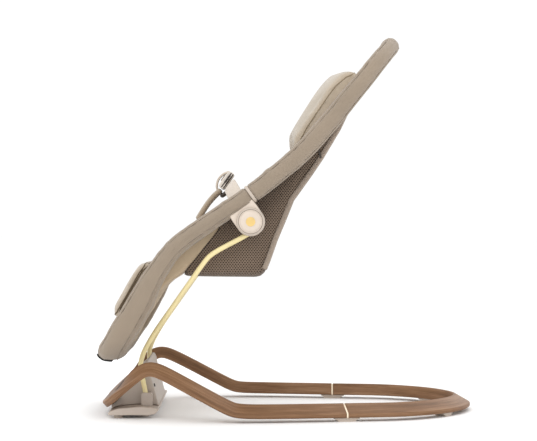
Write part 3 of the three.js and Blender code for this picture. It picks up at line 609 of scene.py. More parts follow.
# %% Wood finish
def wood_finish(name, dark, middle, light):
    """Streaks from noise stretched 26 to 1 along the rail, pores stretched 58 to 1."""
    made = Finish(name, 0.55, coat=0.06, specular=0.25)
    tree = made.tree
    vector = made.uv.outputs["UV"]
    streak = noise(tree, stretched(tree, vector, (5.0, 130.0, 1.0)), 1.0, 5.0, 0.6)
    pore = noise(tree, stretched(tree, vector, (26.0, 1500.0, 1.0)), 1.0, 3.0, 0.7)
    slow = noise(tree, stretched(tree, vector, (3.0, 22.0, 1.0)), 1.0, 2.0)
    factor = maths(tree, "ADD", maths(tree, "MULTIPLY", streak, 0.5),
                   maths(tree, "ADD", maths(tree, "MULTIPLY", pore, 0.42),
                         maths(tree, "MULTIPLY", slow, 0.16)))
    made.paint(made.colours(factor, (0.36, dark), (0.52, middle), (0.68, light)))
    made.roughness(pore, 0.42, 0.62)
    made.bump(pore, 0.25, 0.0005)
    return made.material


rail_wood = wood_finish("rail_wood", (80, 54, 34), (124, 90, 62), (160, 125, 95))

# %% [markdown]
# ## The wood loop
# Seen from above the loop is a rounded oblong; seen from the side it runs flat along the
# floor, climbs to a hump and drops to the front. Its section is a wedge, thick inside and
# thin outside, which becomes a flat board across the front. Sweeping one section along one
# closed line gives both halves, with the joint ring of the frame left between them.

# %% Loop line
MM = 0.001
RAIL_HALF = 0.015
INNER_HEIGHT, OUTER_HEIGHT, BOARD_HEIGHT = 0.022, 0.008, 0.013
RAIL_EDGE_RADIUS = 0.0028
RAIL_OVER_FLOOR = 0.0063
HUMP_X, HUMP_HEIGHT, HUMP_ROUNDING = -0.171, 0.0782, 0.018
FRONT_SLOPE, REAR_SLOPE, RAMP_FOOT_ROUNDING = 0.93, 0.553, 0.008
BOARD_X, BOARD_BLEND = -0.225, 0.04    # a board in front of this X, blending to the wedge
MIDDLE = 0.197    # the plan is drawn from its side; this is where the middle plane lies
half_plan = np.array([(-238, 197), (-238, 110), (-229, 62), (-205, 31), (-164, 15), (-86, 3),
                      (0, 0), (82, 9.5), (160, 21.5), (252, 37.5), (300, 62), (340, 98),
                      (368, 145), (379.6, 197)]) * MM
left_plan = half_plan[::-1] - (0, MIDDLE)
right_plan = half_plan[1:-1] * (1, -1) + (0, MIDDLE)
plan = Line(smooth_line(np.vstack([left_plan, right_plan]), closed=True, per=60))


def rail_height(x):
    """Underside of the rail over the floor: flat, with a rounded hump where two ramps meet."""
    def soft_min(a, b, r):
        return (a + b - np.hypot(a - b, r)) / 2
    ramps = soft_min(HUMP_HEIGHT + FRONT_SLOPE * (x - HUMP_X),
                     HUMP_HEIGHT - REAR_SLOPE * (x - HUMP_X), HUMP_ROUNDING)
    return RAIL_OVER_FLOOR - soft_min(-ramps, 0 * x, RAMP_FOOT_ROUNDING)


def rail_surface(start, end, rows):
    """The rail's section at each place along the plan: a wedge or board with round edges,
    its four corner discs joined by flats."""
    s = np.linspace(start, end, rows) % plan.length
    at, run = plan.at(s), plan.along(s)
    x = at[:, 0]
    slope = (rail_height(x + 5e-4) - rail_height(x - 5e-4)) / 1e-3
    up = unit(np.stack([-slope, 0 * x, 0 * x + 1], 1))
    along = unit(np.stack([run[:, 0], run[:, 1], slope * run[:, 0]], 1))
    out = np.cross(up, along)
    behind = np.clip((x - BOARD_X) / BOARD_BLEND, 0, 1)
    board = 1 - behind**2 * (3 - 2 * behind)
    inner = INNER_HEIGHT + (BOARD_HEIGHT - INNER_HEIGHT) * board
    outer = OUTER_HEIGHT + (BOARD_HEIGHT - OUTER_HEIGHT) * board
    r = RAIL_EDGE_RADIUS
    tilt = np.arctan2(2 * RAIL_HALF, inner - outer)
    quarter = np.linspace(0, 1, 7)
    arcs = []
    for cx, cz, a0, a1 in (
            (RAIL_HALF - r, r + 0 * x, -np.pi / 2 + 0 * x, 0 * x),
            (RAIL_HALF - r, outer - r, 0 * x, tilt),
            (r - RAIL_HALF, inner - r, tilt, np.pi + 0 * x),
            (r - RAIL_HALF, r + 0 * x, np.pi + 0 * x, 1.5 * np.pi + 0 * x)):
        angle = a0[:, None] + (a1 - a0)[:, None] * quarter
        arcs.append(np.stack([cx + r * np.cos(angle), cz[:, None] + r * np.sin(angle)], -1))
    section = np.concatenate(arcs, 1)
    base = np.stack([x, at[:, 1], rail_height(x)], 1)
    return (base[:, None] + section[..., :1] * out[:, None] + section[..., 1:] * up[:, None]
            + (HUB[0], 0, 0))


def loop_at(x):
    """Distance along the plan at which its left side passes X."""
    low, high = 0.0, plan.length * 0.4
    for _ in range(40):
        middle = (low + high) / 2
        low, high = (middle, high) if plan.at(middle)[0] > x else (low, middle)
    return low


# %% Both halves of the loop
SPLICE_X = 0.160
splice = loop_at(SPLICE_X)
edge = 0.0016    # half the joint ring, with a clearance
ends = {"base_front_rail": (splice + edge, plan.length - splice - edge, 520),
        "base_rear_rail": (plan.length - splice + edge, plan.length + splice - edge, 260)}
for name, (start, end, rows) in ends.items():
    rail = grid_mesh(f"wood_{name}", rail_surface(start, end, rows), round_v=True, caps=True)
    dress(rail, rail_wood, "base", [name])
    print(name, "is", round(end - start, 3), "m long")

# %% [markdown]
# ## The seat's side line
# From the side, the seat is one long curve from the feet up over the knees and along the
# back. Everything padded hangs on it, so it is kept as a measured line: distances along it
# start at the hub, positive towards the head, and a rise is square to it, on the child's side.

# %% Side line
side = Line(smooth_line(np.array([(-243, -222), (-204, -160), (-156, -80), (-125, -42),
                                  (-92, -16.5), (-22, 31), (27, 66.5), (78, 109), (113, 145),
                                  (244, 305)]) * MM, per=60))
hub_at = side.measure[np.argmin(np.hypot(*side.points.T))]
TO_FEET, TO_HEAD = -hub_at, side.length - hub_at
SEAT_HALF = 0.172


def offset(line, s, rise):
    """Points square to a line of X and Z, at distances along it and a rise from it."""
    at, run = line.at(s), line.along(s)
    return at + np.asarray(rise)[..., None] * np.stack([-run[..., 1], run[..., 0]], -1)


def on_side(distance, rise=0.0):
    """X and Z from the hub, at a distance along the side line and a rise square to it."""
    return offset(side, distance + hub_at, rise)


def place(xz, y):
    """Points in the frame from X and Z about the hub, and Y."""
    xz, y = np.asarray(xz, float), np.asarray(y, float)
    shape = np.broadcast_shapes(xz.shape[:-1], y.shape)
    out = np.empty((*shape, 3))
    out[..., 0], out[..., 1], out[..., 2] = xz[..., 0] + HUB[0], y, xz[..., 1] + HUB[2]
    return out


print("hub to feet", round(-TO_FEET, 3), "m, hub to head", round(TO_HEAD, 3), "m")

# %% [markdown]
# ## Padded rolls over the frame
# A foam sleeve in jersey covers the tube: an upper U from the hubs round the head and a lower
# one round the feet. The sleeve is thicker at the feet, nearly square at its end, and the
# cloth ripples where the tube bends. A round section swept with a changing radius, with
# small waves that grow at the bends, gives this directly, which a simulation of a long thin
# tube does less well. Two sewn seams run along it.

# %% Roll line and section
def u_loop(start, end, corner, half=SEAT_HALF):
    """A U in the seat's own plane, as distance along the side line and Y: down one side,
    round two corners of a radius, and back up the other side."""
    turn = math.copysign(1, end - start)
    bend = end - turn * corner
    quarter = np.linspace(0, np.pi / 2, 24)
    first = np.stack([bend + turn * corner * np.sin(quarter),
                      corner - half - corner * np.cos(quarter)], 1)
    points = np.vstack([[(start, -half)], first, first[::-1] * (1, -1), [(start, half)]])
    return Line(points)


def roll_frame(loop, count):
    """Centre, way out and way up of a roll at even steps along a loop."""
    s = np.linspace(0, loop.length, count)
    spot = loop.at(s)
    centre = place(on_side(spot[:, 0]), spot[:, 1])
    run = side.along(spot[:, 0] + hub_at)
    up = np.stack([-run[:, 1], 0 * s, run[:, 0]], 1)
    forward = unit(np.gradient(centre, axis=0))
    up = unit(up - (up * forward).sum(1, keepdims=True) * forward)
    out = np.cross(forward, up)
    return s, spot, centre, out, up


def skin(spot, centre, out, up, r, c, si, flip, drop):
    """Points of a roll's sections, (rows, n): the lower half is deepened by the drop, and as
    it deepens it leans back along the side, so that the foot end is cut nearly level."""
    more = drop(spot[:, 0])[:, None]
    rise = si * r * (1 + more * (si < 0))
    run = side.along(spot[:, 0] + hub_at)
    run = np.stack([run[:, 0], 0 * run[:, 0], run[:, 1]], 1)
    lean = 0.9 * more * np.maximum(0, -rise)
    return centre[:, None] + (r * c)[..., None] * out[:, None] * flip + (
        rise[..., None] * up[:, None] + lean[..., None] * run[:, None])


CLOTH_WAVE, FOLD, GROOVE, SEAM = 0.0004, 0.0013, 0.0011, 0.0010


def roll_surface(loop, count, sides, radius, power, ripple, flip, drop, sewn):
    """Rings about the roll's centre: a superellipse of the local radius and squareness, its
    lower half deepened by the drop, its ends rounded over, a groove at each sewn angle, and
    waves of cloth that are strongest where the ripple mask is."""
    s, spot, centre, out, up = roll_frame(loop, count)
    angle = np.linspace(0, 2 * np.pi, sides, endpoint=False)
    r, n = radius(spot[:, 0])[:, None], power(spot[:, 0])[:, None]
    near_end = np.minimum(s, loop.length - s)
    round_over = np.sqrt(np.clip(1 - (1 - np.clip(near_end / 0.003, 0, 1)) ** 2, 0.7, 1))
    u, v = s[:, None], angle[None] * 0.016
    mask = ripple(spot[:, 0], spot[:, 1])[:, None]
    cloth_waves = CLOTH_WAVE * waves(u, v, (0.07, 0.045), 3)
    less_below = 1 - 0.6 * (np.sin(angle) < 0)
    folds = mask * less_below[None] * FOLD * np.maximum(
        0, waves(u, v * 0.35, (0.022, 0.035), 5))
    turn = [np.angle(np.exp(1j * (angle - math.radians(a)))) for a in sewn]
    groove = GROOVE * sum(np.exp(-((t / 0.09) ** 2)) for t in turn)[None]
    pucker = 1 + 0.8 * waves(u, 0 * u, (0.011, 0.017), 13)
    r = (r + cloth_waves + folds - groove * pucker) * round_over[:, None]
    c, si = superellipse(angle[None], n)
    return skin(spot, centre, out, up, r, c, si, flip, drop)


def seam_on_roll(name, loop, count, radius, power, degrees, size, flip, drop):
    """A thin cord sewn on a roll, at an angle round its section."""
    s, spot, centre, out, up = roll_frame(loop, count)
    c, si = superellipse(np.radians(degrees), power(spot[:, 0])[:, None])
    r = radius(spot[:, 0])[:, None] - 0.0002
    path = skin(spot, centre, out, up, r, c, si, flip, drop)[:, 0]
    inside = (s > 0.006) & (s < loop.length - 0.006)
    return tube(name, path[inside], size, 8)


# %% Upper and lower rolls
def upper_radius(d):
    return np.interp(d, [0.0, 0.08, 0.20, 0.30, TO_HEAD], [0.0157, 0.0162, 0.0168, 0.0160, 0.0150])


def lower_radius(d):
    return np.interp(d, [TO_FEET, -0.29, -0.24, -0.19, -0.13, 0.0],
                     [0.0180, 0.0188, 0.0182, 0.0168, 0.0160, 0.0157])


def upper_power(d):
    return 0 * d + 2.15


def lower_power(d):
    return np.interp(d, [TO_FEET, -0.25, -0.12, 0], [2.9, 2.5, 2.2, 2.1])


def no_drop(d):
    return 0 * d


def foot_drop(d):
    return np.interp(d, [TO_FEET, -0.24, -0.19, -0.15], [0.5, 0.42, 0.15, 0])


def at_bends(d, y):
    corner = np.abs(np.abs(y) - 0.12) < 0.05
    knee = np.exp(-(((d + 0.14) / 0.05) ** 2))
    back = np.exp(-(((d - 0.10) / 0.06) ** 2))
    return 0.3 + 0.35 * np.maximum(knee, back) + 0.4 * corner


SPLIT = 0.0275
HEAD_CORNER, FOOT_CORNER = 0.095, 0.070
rolls = {"upper": (u_loop(SPLIT + 0.002, TO_HEAD, HEAD_CORNER), upper_radius, upper_power,
                   1, no_drop, (50, -60)),
         "lower": (u_loop(0.0243, TO_FEET, FOOT_CORNER), lower_radius, lower_power,
                   -1, foot_drop, (50, -40))}
rows = 560
for name, (loop, radius, power, flip, drop, sewn) in rolls.items():
    roll = grid_mesh(f"roll_{name}", roll_surface(
        loop, rows, 72, radius, power, at_bends, flip, drop, sewn), round_v=True, caps=True)
    dress(roll, roll_cloth, "seat", [f"bolster_{name}"])
    print(name, "roll:", len(roll.data.polygons), "faces")

# %% Seams along the rolls
for name, (loop, radius, power, flip, drop, sewn) in rolls.items():
    for where, degrees in zip(("top", "under"), sewn):
        seam = seam_on_roll(f"{name}_seam_{where}", loop, 300, radius, power, degrees, SEAM,
                            flip, drop)
        dress(seam, roll_cloth, "seat")

# %% [markdown]
# ## The mesh bucket
# Below the side line hangs a bucket of dark spacer mesh: straight side walls, a long back and
# a nearly flat bottom. At any place along its back, its section is a square U from one rim to
# the other, so a superellipse between the rim and the wall makes the whole bucket in one
# sheet, and Solidify gives it its thickness.

# %% Bucket
BACK = np.array([(171, 198), (152, 158), (122.5, 108.5), (103, 79.6), (72.4, 37), (58.8, 3),
                 (44.4, -31), (32.4, -65), (24, -86), (17, -92), (9, -93.8)]) * MM
FRONT = np.array([(-60, -93.2), (-108, -92.2), (-113, -90), (-112, -87), (-102, -79),
                  (-85, -64.6), (-68.4, -47.7), (-55.5, -31), (-50, -14), (-49, -4)]) * MM
BUCKET_HALF, WALL_FROM = 0.150, 0.93    # the walls are past this share of the half
wall = Line(np.vstack([BACK, FRONT]))
rim = Line(on_side(np.linspace(0.2497, -0.036, 60), 0.0015))


def bucket_surface(rows, columns):
    """Between the rim point and the wall point of each place, a superellipse from one side
    over the bottom to the other."""
    share = np.linspace(0, 1, rows)
    low, high = wall.at(share * wall.length), rim.at(share * rim.length)
    angle = np.linspace(0, np.pi, columns)
    across, depth = superellipse(angle, 12.0)
    xz = high[:, None] + depth[None, :, None] * (low - high)[:, None]
    slack = 0.0012 * waves(share[:, None] * 0.5, across[None] * BUCKET_HALF, (0.16, 0.1), 9)
    y = across[None] * (BUCKET_HALF + slack - 0.001)
    on_wall = np.abs(y) > WALL_FROM * BUCKET_HALF
    flat = np.stack(np.broadcast_arrays(share[:, None] * wall.length, y), -1)
    return place(xz, y), np.where(on_wall[..., None], xz, flat)


points, bucket_map = bucket_surface(150, 121)
bucket = grid_mesh("bucket", points, uv=bucket_map)
modifier(bucket, "SOLIDIFY", thickness=0.0028, offset=0.0)
dress(bucket, bucket_mesh, "seat", ["mesh_bucket"])
print("bucket wall line is", round(wall.length, 3), "m")

# %% Back panel
def back_surface(rows, columns):
    """The bucket's back again, a little outside it, wrapped 7 mm onto each side wall."""
    s = np.linspace(0.004, 0.316, rows)
    at, run = wall.at(s), wall.along(s)
    out = np.stack([-run[:, 1], run[:, 0]], 1)
    angle = np.linspace(0, np.pi, columns)
    across, depth = superellipse(angle, 14.0)
    high, low = at - 0.007 * out, at + 0.0022 * out
    xz = high[:, None] + depth[None, :, None] * (low - high)[:, None]
    return place(xz, across[None] * (BUCKET_HALF + 0.0012) + 0 * s[:, None])


back_panel = grid_mesh("back_panel", back_surface(90, 81))
modifier(back_panel, "SOLIDIFY", thickness=0.0009, offset=0.0)
dress(back_panel, edge_mesh, "seat", ["back_binding"])

# %% [markdown]
# ## Liner and leg rest
# The child lies on a thin padded liner that runs from the head, down into the bucket and up
# over the front of the seat to the feet. A wedge of panel cloth fills the space under the
# legs. Both are sheets with thickness: a flat superellipse carried along a line, narrowed
# at its ends to fit inside the rounded corners of the frame, with sewn channels pressed in.

# %% Flat padded strips
def fitted_half(full, corner, gap):
    """Half the width that fits inside a rounded corner, at a gap from the strip's end."""
    d = np.clip(gap, 0, corner)
    return full - corner + np.sqrt(corner**2 - (corner - d) ** 2)


def between(top, bottom, half, columns=64, power=5.0, ends=10.0):
    """A closed body between a top and a bottom line: at each place a superellipse whose
    height joins the two lines and whose width is twice the half given; the ends close in as
    the ends-th root of 1 minus the place to that power."""
    share = np.linspace(-1, 1, len(top))
    close = np.clip(1 - np.abs(share * 0.999) ** ends, 1e-4, 1) ** (1 / ends)
    middle, height = (top + bottom) / 2, (top - bottom) / 2
    angle = np.linspace(0, 2 * np.pi, columns, endpoint=False)
    c, s = superellipse(angle, power)
    xz = middle[:, None] + (s[None] * close[:, None])[..., None] * height[:, None]
    edge = np.minimum(close + 0.35, 1) if ends < 8 else close
    return place(xz, c[None] * (np.broadcast_to(half, len(top)) * edge)[:, None])


def pressed(v, u, places, width, depth):
    """How far a row of sewn channels presses in: a sum of bell curves."""
    return depth * sum(np.exp(-(((v - p) / width) ** 2)) for p in places) + 0 * u


# %% Seat liner
basin = offset(Line(BACK), np.linspace(0.045, Line(BACK).length - 0.022, 14), -0.0076)
front_of_seat = np.array([(6, -84.5), (-20, -87), (-46, -80), (-56, -60), (-46, -36),
                          (-38, -16), (-38, 6), (-48, 20)]) * MM
liner_line = Line(smooth_line(np.vstack([
    on_side(np.linspace(TO_HEAD - 0.020, 0.262, 5), -0.002), basin, front_of_seat,
    on_side(np.linspace(-0.064, TO_FEET + 0.020, 8), 0.0112)]), per=24))


def liner_surface(rows, columns):
    """The liner as a thin closed strip: 6 mm thick in the middle, less along its channels."""
    s = np.linspace(0, liner_line.length, rows)
    angle = np.linspace(0, 2 * np.pi, columns, endpoint=False)
    c, si = superellipse(angle, 5.0)
    half = np.minimum(fitted_half(0.145, 0.073, s), fitted_half(0.145, 0.048,
                                                                liner_line.length - s))
    low_start, low_end = TO_HEAD - 0.282, liner_line.length + TO_FEET + 0.084
    half = half - np.interp(s, [low_start, low_start + 0.04, low_end - 0.03, low_end],
                            [0, 0.009, 0.009, 0])
    y = c[None] * half[:, None]
    channel = pressed(y, s[:, None], (-0.075, 0.075), 0.004, 0.45)
    channel = channel + pressed(s[:, None], y, np.arange(0.12, liner_line.length, 0.135),
                                0.004, 0.4)
    soft = 0.0005 * waves(s[:, None], y, (0.12, 0.06), 21)
    thick = 0.0032 * (1 - np.clip(channel, 0, 0.6)) + soft
    at, run = liner_line.at(s), liner_line.along(s)
    up = np.stack([run[:, 1], -run[:, 0]], 1)
    xz = at[:, None] + (thick * si[None])[..., None] * up[:, None]
    return place(xz, y)


liner = grid_mesh("liner", liner_surface(360, 120), round_v=True, caps=True)
dress(liner, liner_cloth, "seat", ["seat_liner"])
print("liner line is", round(liner_line.length, 3), "m")

# %% Leg rest
leg_under = np.array([(-227, -226), (-219, -228), (-193, -183), (-176, -156), (-153, -120),
                      (-136, -103.4), (-116, -90), (-103, -78), (-86, -64), (-69.8, -47),
                      (-57, -30.5), (-51.6, -14), (-50.6, -5)]) * MM
share = np.linspace(0, 1, 90)
leg_line = Line(smooth_line(leg_under, per=16))
leg_top = on_side(TO_FEET + 0.019 + share * (-0.056 - TO_FEET - 0.019), 0.0066)
leg_low = leg_line.at(share * leg_line.length)
leg_half = fitted_half(0.149, 0.051, share * 0.26 + 0.001)
leg_rest = grid_mesh("leg_rest", between(leg_top, leg_low, leg_half, 96, 9.0, 40.0),
                     round_v=True, caps=True)
dress(leg_rest, panel_cloth, "seat", ["leg_panel"])

# %% [markdown]
# ## Pillow and leg pad
# These two are stuffed, so their shape comes from pressure: a slightly smaller closed form
# is remeshed evenly, blown up as cloth for a few frames with gravity off, and kept from
# moving further than a cap. Remeshing removes any map, so the map and the two-tone mask are
# worked out afterwards from where each point ended up, and the piping is laid on last.

# %% Swelling a pad
def read(items, what, width=3, kind=np.float32):
    """One attribute of a mesh's vertices, faces or corners, a row to each."""
    values = np.empty(len(items) * width, kind)
    items.foreach_get(what, values)
    return values.reshape(-1, width) if width > 1 else values


def swell(piece, voxel, cap, pressure=4.0, frames=20):
    """Inflates a closed piece as cloth, and lets no point move further than the cap."""
    modifier(piece, "REMESH", mode="VOXEL", voxel_size=voxel)
    graph = bpy.context.evaluated_depsgraph_get()
    even = bpy.data.meshes.new_from_object(piece.evaluated_get(graph))
    piece.modifiers.clear()
    piece.data = even
    rest = read(even.vertices, "co").astype(float)
    made = modifier(piece, "CLOTH")
    made.settings.use_pressure = True
    made.settings.uniform_pressure_force = pressure
    made.settings.effector_weights.gravity = 0
    made.settings.quality = 6
    made.point_cache.frame_start, made.point_cache.frame_end = 1, frames
    for step in range(1, frames + 1):
        scene.frame_set(step)
    graph = bpy.context.evaluated_depsgraph_get()
    swollen = piece.evaluated_get(graph).data
    moved = read(swollen.vertices, "co").astype(float) - rest
    piece.modifiers.clear()
    scene.frame_set(1)
    size = np.linalg.norm(moved, axis=1, keepdims=True)
    rest = rest + moved * np.minimum(1, cap / np.maximum(size, 1e-9))
    piece.data.vertices.foreach_set("co", rest.astype(np.float32).ravel())
    piece.data.polygons.foreach_set("use_smooth", np.ones(len(piece.data.polygons), bool))
    piece.data.update()
    return rest


def seat_map(piece, middle, front_at=0.35):
    """A map in metres from the nearest of three directions of the seat there, along it,
    across it and square to it, and the front mask from how far a point faces the child."""
    run = side.along(middle + hub_at)
    axes = np.array([(run[0], 0, run[1]), (0, 1, 0), (-run[1], 0, run[0])])
    mesh = piece.data
    local = read(mesh.vertices, "co") @ axes.T
    facing = read(mesh.polygons, "normal") @ axes.T
    sizes = read(mesh.polygons, "loop_total", 1, np.int32)
    corner = read(mesh.loops, "vertex_index", 1, np.int32)
    main = np.repeat(np.abs(facing).argmax(1), sizes)
    picks = np.array([(1, 2), (0, 2), (0, 1)])[main]
    uv = np.take_along_axis(local[corner], picks, 1)
    layer = mesh.uv_layers.new(name="UVMap")
    layer.data.foreach_set("uv", uv.astype(np.float32).ravel())
    square = read(mesh.vertices, "normal") @ axes[2]
    mask = np.clip((square - front_at) / 0.12, 0, 1)
    mesh.attributes.new("front", "FLOAT", "POINT").data.foreach_set(
        "value", mask.astype(np.float32))


def piping_on(piece, name, path, size, finish, body):
    """A cord sewn on a pad: a closed path brought onto the pad's surface."""
    tree = BVHTree.FromPolygons([v.co for v in piece.data.vertices],
                                [p.vertices for p in piece.data.polygons])
    near = np.array([tree.find_nearest(Vector(p))[0] for p in path])
    soft = near
    for _ in range(3):
        soft = (np.roll(soft, 1, 0) + 2 * soft + np.roll(soft, -1, 0)) / 4
    cord = tube(name, np.vstack([soft, soft[:2]]), size, 8)
    return dress(cord, finish, body)


# %% Head pillow
front_curve = np.array([(136, 9), (139, 19), (150, 30), (178, 37), (212, 42), (245, 45.5),
                        (270, 45.5), (294, 41), (307, 31), (312, 15)]) * MM
back_curve = np.array([(136, 6), (180, 4.5), (225, 4.5), (270, 4.5), (312, 7)]) * MM


def pad_between(name, front, back, half, power, shrink, rows=60):
    """A pad on the side line, from a front and a back given as distance and rise."""
    share = np.linspace(0, 1, rows)
    front, back = Line(smooth_line(front, per=16)), Line(smooth_line(back, per=16))
    f, b = front.at(share * front.length), back.at(share * back.length)
    f = f - (0, shrink)
    return grid_mesh(name, between(on_side(f[:, 0], f[:, 1]), on_side(b[:, 0], b[:, 1]),
                                   half - shrink, 72, power, 14.0), round_v=True, caps=True)


pillow = pad_between("pillow", front_curve, back_curve, half=0.111, power=6.0, shrink=0.003)
swell(pillow, voxel=0.005, cap=0.009)
seat_map(pillow, middle=0.225, front_at=0.55)
modifier(pillow, "SUBSURF", levels=1, render_levels=1)
dress(pillow, pillow_cloth, "seat", ["head_pillow"])

angle = np.linspace(0, 2 * np.pi, 160, endpoint=False)
c, s = superellipse(angle, 7.0)
distance = 0.2255 + 0.083 * c
rise = np.interp(distance, front_curve[:, 0], front_curve[:, 1]) - 0.0145
piping_on(pillow, "pillow_piping", place(on_side(distance, rise), 0.110 * s), 0.0010,
          soft_piping, "seat")

# %% Leg pad
pad_front = np.array([(-289, 20), (-286, 26), (-278, 29.5), (-246, 31), (-216, 31), (-186, 29),
                      (-178, 25), (-175, 19)]) * MM
pad_back = np.array([(-289, 17), (-251, 16.5), (-216, 16.5), (-175, 16.5)]) * MM
leg_pad = pad_between("leg_pad_cushion", pad_front, pad_back, half=0.117, power=8.0,
                      shrink=0.001)
swell(leg_pad, voxel=0.004, cap=0.005)
seat_map(leg_pad, middle=-0.231)
modifier(leg_pad, "SUBSURF", levels=1, render_levels=1)
dress(leg_pad, pad_cloth, "seat", ["leg_pad"])
# Both cords are painted dark for the shade along the pad's edge.
for i, rise in enumerate((0.0185, 0.0245)):
    path = place(on_side(-0.232 + 0.0565 * c, rise + 0 * c), 0.1165 * s)
    piping_on(leg_pad, f"leg_pad_piping_{i + 1}", path, 0.0011, dark_piping, "seat")

# %% [markdown]
# ## Harness
# A padded strap comes up between the legs to a buckle, a folded end of webbing hangs from
# it, and a padded wing at each side goes to the wall of the bucket. Straps keep their width
# and bend only across it, so each is a flat superellipse carried along a line with its width
# held in a given direction.

# %% Straps
def band(name, path, wide, width, thick, power=6.0, rows=70, columns=36, taper=0.15):
    """A strap along a smooth line: rings with the width held along a given direction and the
    thickness square to it; the ends draw in over their last few millimetres."""
    line = Line(smooth_line(path, per=24))
    s = np.linspace(0, line.length, rows)
    at = line.at(s)
    forward = unit(np.gradient(at, axis=0))
    wide = np.broadcast_to(np.asarray(wide, float), at.shape)
    across = unit(wide - (wide * forward).sum(1, keepdims=True) * forward)
    up = np.cross(forward, across)
    near = np.minimum(s, line.length - s)
    close = np.sqrt(np.clip(1 - (1 - np.clip(near / 0.004, 0, 1)) ** 2, taper, 1))[:, None]
    angle = np.linspace(0, 2 * np.pi, columns, endpoint=False)
    c, si = superellipse(angle, power)
    soft = 1 + 0.05 * waves(s[:, None], c[None] * width, (0.03, 0.05), 31)
    points = at[:, None] + (c * close * width / 2)[..., None] * across[:, None] + (
        si * close * soft * thick / 2)[..., None] * up[:, None]
    return grid_mesh(name, points, round_v=True, caps=True)


def flat_path(points, y=0.0):
    return place(np.asarray(points) * MM, np.full(len(points), y))


crotch = band("crotch_pad", flat_path([(-94, 4), (-87, 16), (-75, 34), (-63, 48), (-51, 58)]),
              (0, 1, 0), width=0.046, thick=0.0105, power=2.8)
dress(crotch, strap_cloth, "seat", ["crotch_strap"])
webbing = band("webbing", flat_path([(-56, 52), (-59.5, 64), (-57, 76), (-48, 86), (-36, 91)]),
               (0, 1, 0), width=0.025, thick=0.0042, power=5.0)
dress(webbing, belt_cloth, "seat", ["webbing_loop"])
buckle_back = band("buckle_back", flat_path([(-53, 46), (-45, 51), (-37, 60)]), (0, 1, 0),
                   width=0.044, thick=0.0075, power=4.0)
dress(buckle_back, dark_plastic, "seat", ["buckle_pad"])


def belt_wing(name):
    path = [HUB + (-0.036, -0.027, 0.065), HUB + (-0.032, -0.086, 0.057),
            HUB + (-0.020, -0.141, 0.034)]
    return band(name, path, (0.6, 0, 0.8), width=0.028, thick=0.0075, power=2.8)


for wing in both_sides(belt_wing, "belt_wing", belt_cloth, "seat", "waist_belt"):
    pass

# %% [markdown]
# ## Hard pieces
# The buckle, tray and cover are prisms with softened edges, so they are outlines given a
# depth, with a Bevel. The hub's disc and rim are turned profiles. The hub's shell is a
# teardrop lofted outwards with its edge rounded over.

# %% Prisms with soft edges
def rotated(flat, angle):
    """Rows of X and Z, turned about Y."""
    ca, sa = math.cos(angle), math.sin(angle)
    return np.stack([ca * flat[:, 0] - sa * flat[:, 1], sa * flat[:, 0] + ca * flat[:, 1]], 1)


def prism(name, outline, low, high, bevel=0.0012, turn=0.0, centre=(0, 0)):
    """An X-Z outline in metres from one Y to another, turned about Y and moved to a centre
    in X and Z from the hub."""
    xz = rotated(np.asarray(outline, float), turn) + centre
    n = len(xz)
    points = np.vstack([place(xz, np.full(n, y)) for y in (low, high)])
    ring = np.arange(n)
    sides = np.stack([ring, (ring + 1) % n, (ring + 1) % n + n, ring + n], 1).tolist()
    mesh = bpy.data.meshes.new(name)
    mesh.from_pydata(points.tolist(), [], sides + [ring[::-1].tolist(), (ring + n).tolist()])
    piece = bpy.data.objects.new(name, mesh)
    scene.collection.objects.link(piece)
    outward(piece)
    mesh.polygons.foreach_set("use_smooth", np.ones(len(mesh.polygons), bool))
    modifier(piece, "BEVEL", width=bevel, segments=3, limit_method="ANGLE")
    modifier(piece, "WEIGHTED_NORMAL", keep_sharp=True)
    return piece


def rectangle(length, height):
    a, b = length / 2, height / 2
    return [(-a, -b), (a, -b), (a, b), (-a, b)]


# %% Buckle
BUCKLE, TILT = np.array([-0.042, 0.075]), math.radians(54)
body_outline = [(-17, -4.5), (-15, -6.5), (15, -6.5), (17, -4.5), (17, 3.5), (14, 6.5),
                (-14, 6.5), (-17, 3.5)]
buckle = prism("buckle", np.array(body_outline) * MM, -0.020, 0.020,
               bevel=0.0018, turn=TILT, centre=BUCKLE)
dress(buckle, buckle_plastic, "seat", ["buckle_body"])
normal = np.array([-math.sin(TILT), math.cos(TILT)])
button = prism("buckle_press", rectangle(0.0128, 0.005), -0.0074, 0.0074,
               bevel=0.001, turn=TILT, centre=BUCKLE + normal * 0.0062)
dress(button, tray_plastic, "buckle_button", ["buckle_button"])


def tongue(name):
    return prism(name, rectangle(0.017, 0.003), -0.032, -0.0205, bevel=0.001, turn=TILT,
                 centre=BUCKLE + np.array([math.cos(TILT), math.sin(TILT)]) * 0.003)


both_sides(tongue, "tongue", dark_plastic, "seat", "buckle_tongue")

# Two thin dark plates stand for the shaded gaps along the buckle's sides: painted shade, lines
# clear of the button when it is pressed.
for i, depth in enumerate((0.0002, -0.0040)):
    layer = prism(f"buckle_gap_shade_{i + 1}", rectangle(0.031, 0.0021), -0.0206, 0.0206,
                  bevel=0.0005, turn=TILT, centre=BUCKLE + normal * depth)
    dress(layer, dark_plastic, "seat")

